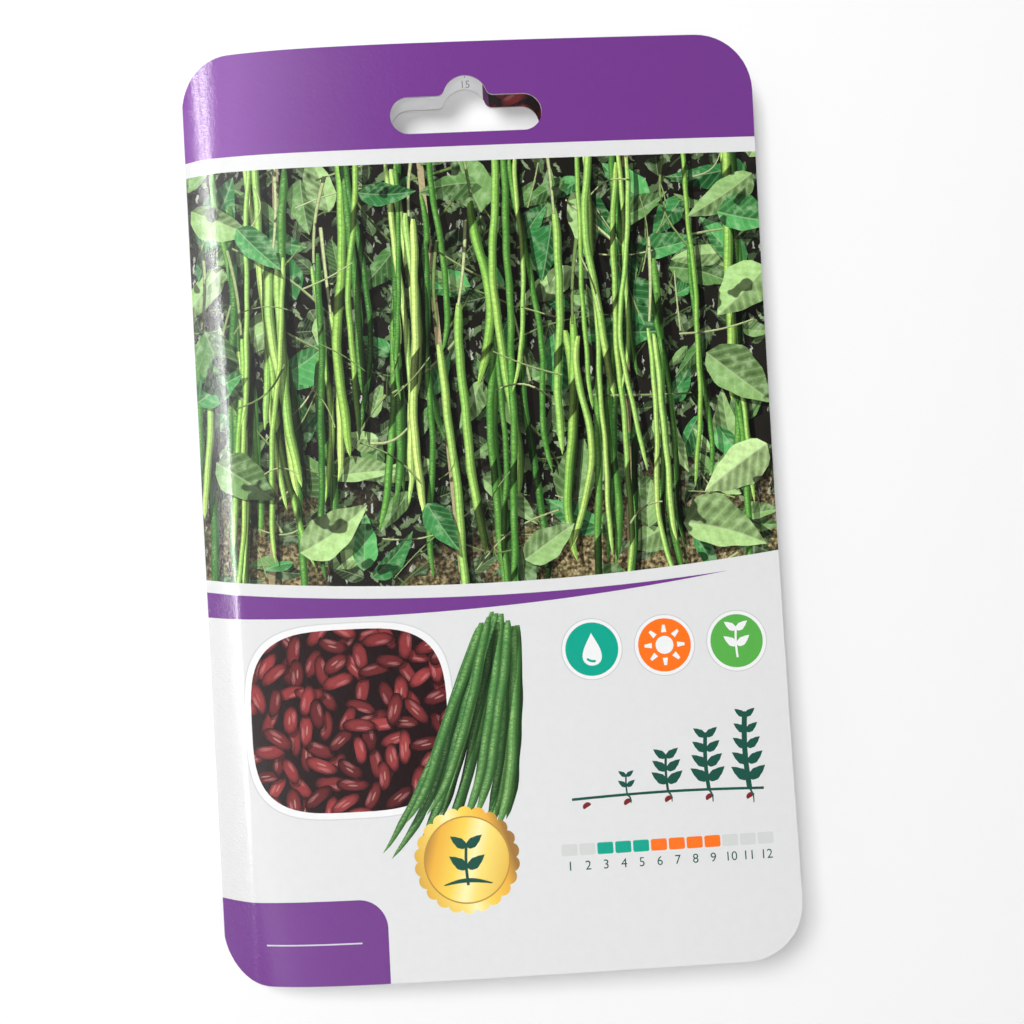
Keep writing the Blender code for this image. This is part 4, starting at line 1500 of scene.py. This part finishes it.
def film_piece(name, low_side, columns, rows, height, material):
    """A closed film on a grid: height above low_side, with pinked ends and a wall all round."""
    xs = np.linspace(-SACHET_WIDTH / 2, SACHET_WIDTH / 2, columns)
    share = np.linspace(0, 1, rows)
    grid_x, grid_s = np.meshgrid(xs, share)
    tooth = np.abs((grid_x / PINK_PITCH) % 1.0 - 0.5) * 2 * PINK_DEPTH
    near_end = np.clip(1 - np.minimum(grid_s, 1 - grid_s) * 12, 0, 1)
    grid_y = SACHET_Y + (grid_s - 0.5) * SACHET_LENGTH
    grid_y = grid_y - np.sign(grid_s - 0.5) * tooth * near_end
    rise = height(grid_x, grid_y)
    under = np.stack([grid_x, grid_y, low_side + rise], axis=-1).reshape(-1, 3)
    upper = under + np.array([0, 0, FILM_THICKNESS])
    index = np.arange(columns * rows).reshape(rows, columns)
    a, b = index[:-1, :-1].ravel(), index[:-1, 1:].ravel()
    c, d = index[1:, 1:].ravel(), index[1:, :-1].ravel()
    count = columns * rows
    ring = np.concatenate([index[0], index[1:, -1], index[-1, -2::-1], index[-2:0:-1, 0]])
    after = np.roll(ring, -1)
    faces = np.concatenate([
        np.stack([a, b, c, d], axis=1) + count,
        np.stack([a, d, c, b], axis=1),
        np.stack([ring, after, after + count, ring + count], axis=1),
    ])
    mesh = bpy.data.meshes.new(name)
    mesh.from_pydata((np.concatenate([under, upper]) * MM).tolist(), [], faces.tolist())
    mesh.polygons.foreach_set("use_smooth", np.ones(len(faces), bool))
    mesh.materials.append(material)
    mesh.update()
    film = bpy.data.objects.new(name, mesh)
    bpy.context.scene.collection.objects.link(film)
    return film


def foil_material():
    """Aluminium laminate: bright, softly crumpled, with ribs across the heat seal."""
    material, shader, spot = start_material("foil_laminate")
    x, y = spot.axis(0), spot.axis(1)
    seal_x, seal_y = SACHET_WIDTH / 2 - SEAL_WIDTH, SACHET_LENGTH / 2 - SEAL_WIDTH
    end = (y - SACHET_Y).math("ABSOLUTE").step(seal_y - 0.2, seal_y + 0.2)
    side = x.math("ABSOLUTE").step(seal_x - 0.2, seal_x + 0.2)
    ribs = (y * 5.2).math("SINE") * end + (x * 5.2).math("SINE") * side * (1 - end)
    crumple = spot.noise(0.14, 1.0) * 1.5 + spot.noise(0.45, 1.0) * 0.3
    height = crumple + spot.cells(0.16) * 0.8 + ribs * 0.07
    tone = 0.45 + spot.noise(0.1, 2.0) * 0.2
    spot.feed(shader, {
        "Base Color": tone.mix((0.80, 0.81, 0.82), (0.90, 0.90, 0.89)),
        "Roughness": 0.22 + spot.noise(0.3, 2.0) * 0.14,
        "Normal": height.bump(0.8, 0.0008),
        "Metallic": 0.80,
    })
    return material


def front_film_height(x, y):
    """The pillow over the seeds, a little lower between them, with creases that fade at the seal."""
    rise = pillow_rise(x, y)
    sag = 0.42 * rise * (1 - seed_lumps(x, y))
    return PILLOW_HEIGHT * rise - sag - 0.16 * rise * np.clip(creases(x, y, 3), 0, 1.6)


def back_film_height(x, y):
    """Flat against the card."""
    return np.zeros_like(x)


foil = foil_material()
front_film = film_piece("sachet_front", FRONT_FILM_LOW, 158, 190, front_film_height, foil)
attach(front_film, "base")
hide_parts("sachet_front_film")
back_film = film_piece("sachet_back", BACK_FILM_LOW, 158, 26, back_film_height, foil)
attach(back_film, "base")
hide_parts("sachet_back_film")

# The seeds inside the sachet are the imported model's own, with dark red bean skin: mottled, faintly
# wrinkled and satin.


def bean_skin():
    """Dark red skin with lengthwise wrinkles and darker blotches."""
    material, shader, spot = start_material("bean_skin")
    blotch = spot.noise(0.35, 4.0).step(0.35, 0.65)
    wrinkle = spot.stretched((0.5, 1.8, 1.0)).noise(1.4, 3.0)
    spot.feed(shader, {
        "Base Color": blotch.mix((0.09, 0.010, 0.012), (0.27, 0.035, 0.030)),
        "Roughness": 0.34 + wrinkle * 0.2,
        "Normal": wrinkle.bump(0.4, 0.0003),
    })
    return material


def assign(node, material):
    """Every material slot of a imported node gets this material."""
    for index in range(len(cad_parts[node].data.materials)):
        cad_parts[node].data.materials[index] = material


assign("seed_fill", bean_skin())

# Two strips of clear glue hold the sachet to the back panel: slightly yellow, with small bubbles.


def glue_material():
    """Set glue: amber-grey, glossy, with round bubbles in the bump."""
    material, shader, spot = start_material("set_glue")
    spot.feed(shader, {
        "Base Color": spot.noise(0.4, 3.0).mix((0.62, 0.58, 0.46), (0.78, 0.75, 0.66)),
        "Roughness": 0.22,
        "Normal": spot.cells(0.9).step(0.1, 0.35).bump(0.5, 0.0002),
    })
    return material


glue = glue_material()
assign("glue_strip_lower", glue)
assign("glue_strip_upper", glue)
